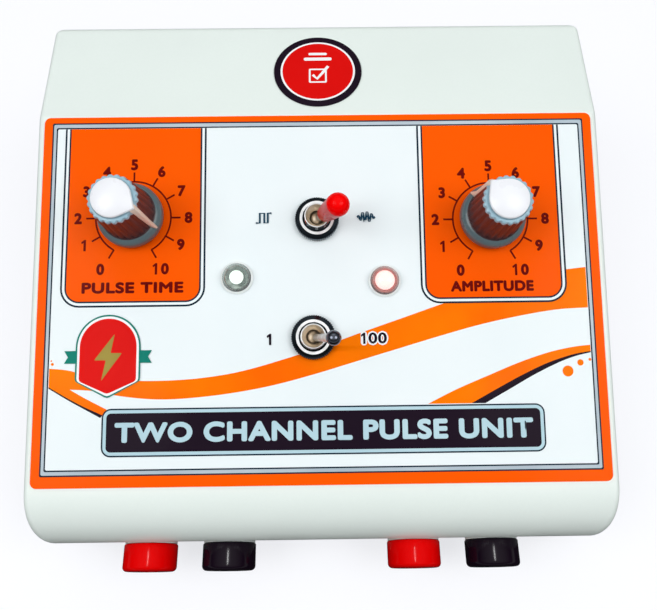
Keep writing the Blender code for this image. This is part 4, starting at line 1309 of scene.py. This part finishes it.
def fuse():
    place = REAR @ shift(FUSE_X, 0)
    reach = FUSE_CAP_REACH
    holder = [
        (0, -19.2), (3.2, -19.2), (3.2, -2.0), (4.9, -2.0), (4.9, 2.0), (5.1, 2.1), (7.4, 2.1), (7.85, 1.9),
        (8.0, 1.5), (8.0, 0.1), (6.05, 0.1), (6.05, -21), (2.2, -21), (2.2, -23.5), (0, -23.5),
    ]
    piece("fuse_collar", turned(holder, 64), place, "case", black_plastic, "fuse_holder")
    cap = [
        (0, reach), (4.8, reach), (5.3, reach - 0.15), (5.6, reach - 0.6, 0.15), (5.7, reach - 1.1, 0.3),
        (5.7, 2.9, 0.3), (5.55, 2.5, 0.1), (4.6, 2.4), (4.6, -1.7), (2.8, -1.7), (2.8, 1.5), (0, 1.5),
    ]
    shell = turned(cap, 24 * 8, 24)
    slot_cutter = straight_stack(round_box(8, 1.3, 0.3), reach - 1.2, reach + 1)
    shell = carve(shell, "DIFFERENCE", [(slot_cutter, HERE)])
    piece("fuse_cap_shell", shell, place, "fuse_turn_cap", black_plastic, "fuse_cap")


def power_switch():
    place = REAR @ shift(POWER_SWITCH_X, 0)
    bezel = slab(round_box(15, 21, 1.2), 0.1, 1.9, 0.45)
    bezel = carve(bezel, "UNION", [(block((-6.4, -9.4, -13), (6.4, 9.4, 1)), HERE)])
    well = straight_stack(round_box(11.2, 16.8, 0.3), -7.5, 5)
    bezel = carve(bezel, "DIFFERENCE", [(well, HERE)])
    piece("switch_bezel", bezel, place, "case", black_plastic, "power_switch_housing")

    pivot = place @ shift(0, 0, -1.5) @ turn(ROCKER_TILT, "X")
    side = [(-7.3, 3.6), (-7.0, -1.5), (-3, -3.5), (3, -3.5), (7.0, -1.5), (7.3, 3.6)]
    crown = [
        (6.9, 4.25), (6.2, 4.4), (4.6, 4.02), (3, 3.7), (1.5, 3.47), (0, 3.4), (-1.5, 3.47), (-3, 3.7),
        (-4.6, 4.02), (-6.2, 4.4), (-6.9, 4.25),
    ]
    rocker = stack([(side + crown, -5.3), (side + crown, 5.3)], 25)
    upright = turn(90, "Z") @ turn(90, "X")
    shell = piece("rocker_shell", rocker, pivot @ upright, "power_rocker", black_gloss,
                  "power_switch_rocker")
    soft_edges(shell, 0.35, 3)
    on_mark = [area(-0.25, 0.25, 3.4, 6.0, 0.2)]
    off_mark = [disc(0, -4.8, 1.4), disc(0, -4.8, 0.95)]
    for name, mark, lean in (("rocker_on", on_mark, 14), ("rocker_off", off_mark, -14)):
        placed = pivot @ shift(0, 0, 3.07) @ turn(lean, "X")
        piece(name, inked(mark, 0, 0.06), placed, "power_rocker", ink_white)


mains_inlet()
fuse()
power_switch()


# ---- feet and screws ----


def foot_and_screw(name, x, y):
    ground = CASE @ shift(x, y, -FOOT_HEIGHT)
    ring = soften([
        (6.4, 3.45), (7.0, 0.6), (6.4, 0), (5.6, 0), (5.3, 0.35), (4.9, 0.35), (4.6, 0), (3.8, 0), (3.8, 2.0),
        (1.9, 2.0), (1.9, 3.45),
    ], 0.25, closed=True, steps=2)
    piece(f"foot_{name}", turned(ring, 48), ground, "case", rubber, f"rubber_foot_{name}")
    screw = [
        (0, 14), (0.3, 13.9), *threads(1.45, 2.4, 12.6, 0.9, 0.3), (1.2, 1.9), (2.75, 1.9), (2.9, 1.75),
        (2.85, 1.2), (2.5, 0.65), (1.8, 0.42), (0, 0.4),
    ]
    head = turned(screw, 32)
    cross = [
        (block((-1.7, -0.3, 0), (1.7, 0.3, 1.3)), HERE), (block((-0.3, -1.7, 0.02), (0.3, 1.7, 1.28)), HERE),
    ]
    head = carve(head, "DIFFERENCE", cross)
    piece(f"screw_{name}", head, ground, "case", steel, f"case_screw_{name}")


for corner in corners():
    foot_and_screw(*corner)


# ---- what stays as the CAD made it, inside the case ----

CARRIED = {
    "pot_can": bright_metal, "pot_bushing": bright_metal, "pot_shaft": bright_metal,
    "toggle_housing": switch_blue,
    "_nut": nickel, "fuse": bright_metal, "circuit_board": board_green,
    "smoothing_capacitor": capacitor_sleeve,
    "output_transformer": transformer_tape, "transformer_core": lamination,
    "transformer_winding": winding_tape,
}
for node_name, node in cad.items():
    if node.hide_render:
        continue
    chosen = [look for part, look in CARRIED.items() if part in node_name]
    node.data.materials.clear()
    node.data.materials.append(chosen[0] if chosen else bright_metal)


# ---- the studio ----

CAMERA_PLACE = (0.802, -23.003, 160.474)
CAMERA_ELEVATION = 66.786
CAMERA_AZIMUTH = 1.041
CAMERA_ROLL = 0.266
LENS = 36.71
FLOOR_GLOW = 0.74
FLOOR_SIZE = (6000, 6000, 200)
BACK_POWER = 0.2
SIDE_POWER = 3.1
TOP_POWER = 2.4
# The sky as (height, colour): height 0 is straight down, 0.5 the horizon and 1 straight up
SKY_ENDS = ((0.46, (0.02, 0.02, 0.022, 1)), (1.0, (0.82, 0.83, 0.84, 1)))
SKY_LEVELS = ((0.465, 0.6), (0.59, 0.45), (0.62, 0.02), (0.7, 0.05), (0.82, 0.35))


def make_camera():
    data = bpy.data.cameras.new("camera")
    data.lens = LENS
    data.sensor_width = 36
    data.clip_start = 0.01
    camera = bpy.data.objects.new("camera", data)
    scene.collection.objects.link(camera)
    elevation, azimuth = math.radians(CAMERA_ELEVATION), math.radians(CAMERA_AZIMUTH)
    look = Vector((
        math.cos(elevation) * math.sin(azimuth), math.cos(elevation) * math.cos(azimuth), -math.sin(elevation)
    ))
    across = look.cross(Vector((0, 0, 1))).normalized()
    up = across.cross(look)
    roll = math.radians(CAMERA_ROLL)
    right = across * math.cos(roll) + up * math.sin(roll)
    up = right.cross(look)
    spin = Matrix((right, up, -look)).transposed().to_4x4()
    camera.matrix_world = Matrix.Translation((PANEL @ shift(*CAMERA_PLACE)).translation) @ spin
    scene.camera = camera


def softbox(name, place, size, power):
    """A rectangular light aimed at the middle of the object, place in metres."""
    data = bpy.data.lights.new(name, "AREA")
    data.shape = "RECTANGLE"
    data.size, data.size_y = size
    data.energy = power
    light = bpy.data.objects.new(name, data)
    light.location = place
    aim = Vector((0, 0, 0.04)) - Vector(place)
    light.rotation_euler = aim.to_track_quat("-Z", "Y").to_euler()
    scene.collection.objects.link(light)
    return light


def make_floor():
    """A pale floor that glows for the camera, and lights nothing and is mirrored in nothing."""
    floor_look = Look("floor", [c * 0.3 for c in srgb(249, 250, 253)], 0.8, Specular_IOR_Level=0.1,
                      Emission_Color=(*srgb(250, 251, 255), 1), Emission_Strength=FLOOR_GLOW)
    floor_look.patchy(0.01, 0.3, [c * 0.3 for c in srgb(246, 248, 252)])
    floor = bpy.data.objects.new("floor", straight_stack(round_box(*FLOOR_SIZE), -20, 0))
    floor.data.materials.append(floor_look.material)
    floor.visible_diffuse = False
    floor.visible_glossy = False
    scene.collection.objects.link(floor)


def make_sky():
    """A world whose colour follows height only, with a pale band just over the horizon."""
    world = bpy.data.worlds.new("studio")
    world.use_nodes = True
    nodes, links = world.node_tree.nodes, world.node_tree.links
    direction = nodes.new("ShaderNodeTexCoord").outputs["Generated"]
    split = nodes.new("ShaderNodeSeparateXYZ")
    links.new(direction, split.inputs["Vector"])
    height = nodes.new("ShaderNodeMapRange")
    height.inputs["From Min"].default_value = -1
    links.new(split.outputs["Z"], height.inputs["Value"])
    sky = nodes.new("ShaderNodeValToRGB")
    stops = sky.color_ramp.elements
    for stop, (position, colour) in zip(stops, SKY_ENDS):
        stop.position, stop.color = position, colour
    for position, level in SKY_LEVELS:
        stops.new(position).color = (level, level * 1.01, level * 1.02, 1)
    links.new(height.outputs["Result"], sky.inputs["Fac"])
    links.new(sky.outputs["Color"], nodes["Background"].inputs["Color"])
    scene.world = world


def make_lights():
    """Side lights for all but the socket heads, which have a narrow light of their own, and a back light."""
    softbox("back", (0.0, 0.40, 0.80), (0.5, 0.12), BACK_POWER)
    heads = bpy.data.collections.new("socket_heads")
    others = bpy.data.collections.new("no_socket_heads")
    for name, *_ in SOCKETS:
        moulding = bpy.data.objects[f"{name}_moulding"]
        heads.objects.link(moulding)
        others.objects.link(moulding)
    for member in others.collection_objects:
        member.light_linking.link_state = "EXCLUDE"
    for name, side in (("left", -1), ("right", 1)):
        light = softbox(name, (0.5 * side, -0.2, 0.77), (0.5, 0.5), SIDE_POWER)
        light.light_linking.receiver_collection = others
    top = softbox("top", (0.0, 0.02, 0.9), (0.05, 0.3), TOP_POWER)
    top.light_linking.receiver_collection = heads


make_camera()
make_floor()
make_sky()
make_lights()
scene.view_settings.view_transform = "Standard"

bpy.context.view_layer.update()
for obj in plain_pieces:
    obj.data.transform(obj.matrix_world)
    obj.matrix_world = Matrix.Identity(4)
bpy.context.view_layer.update()
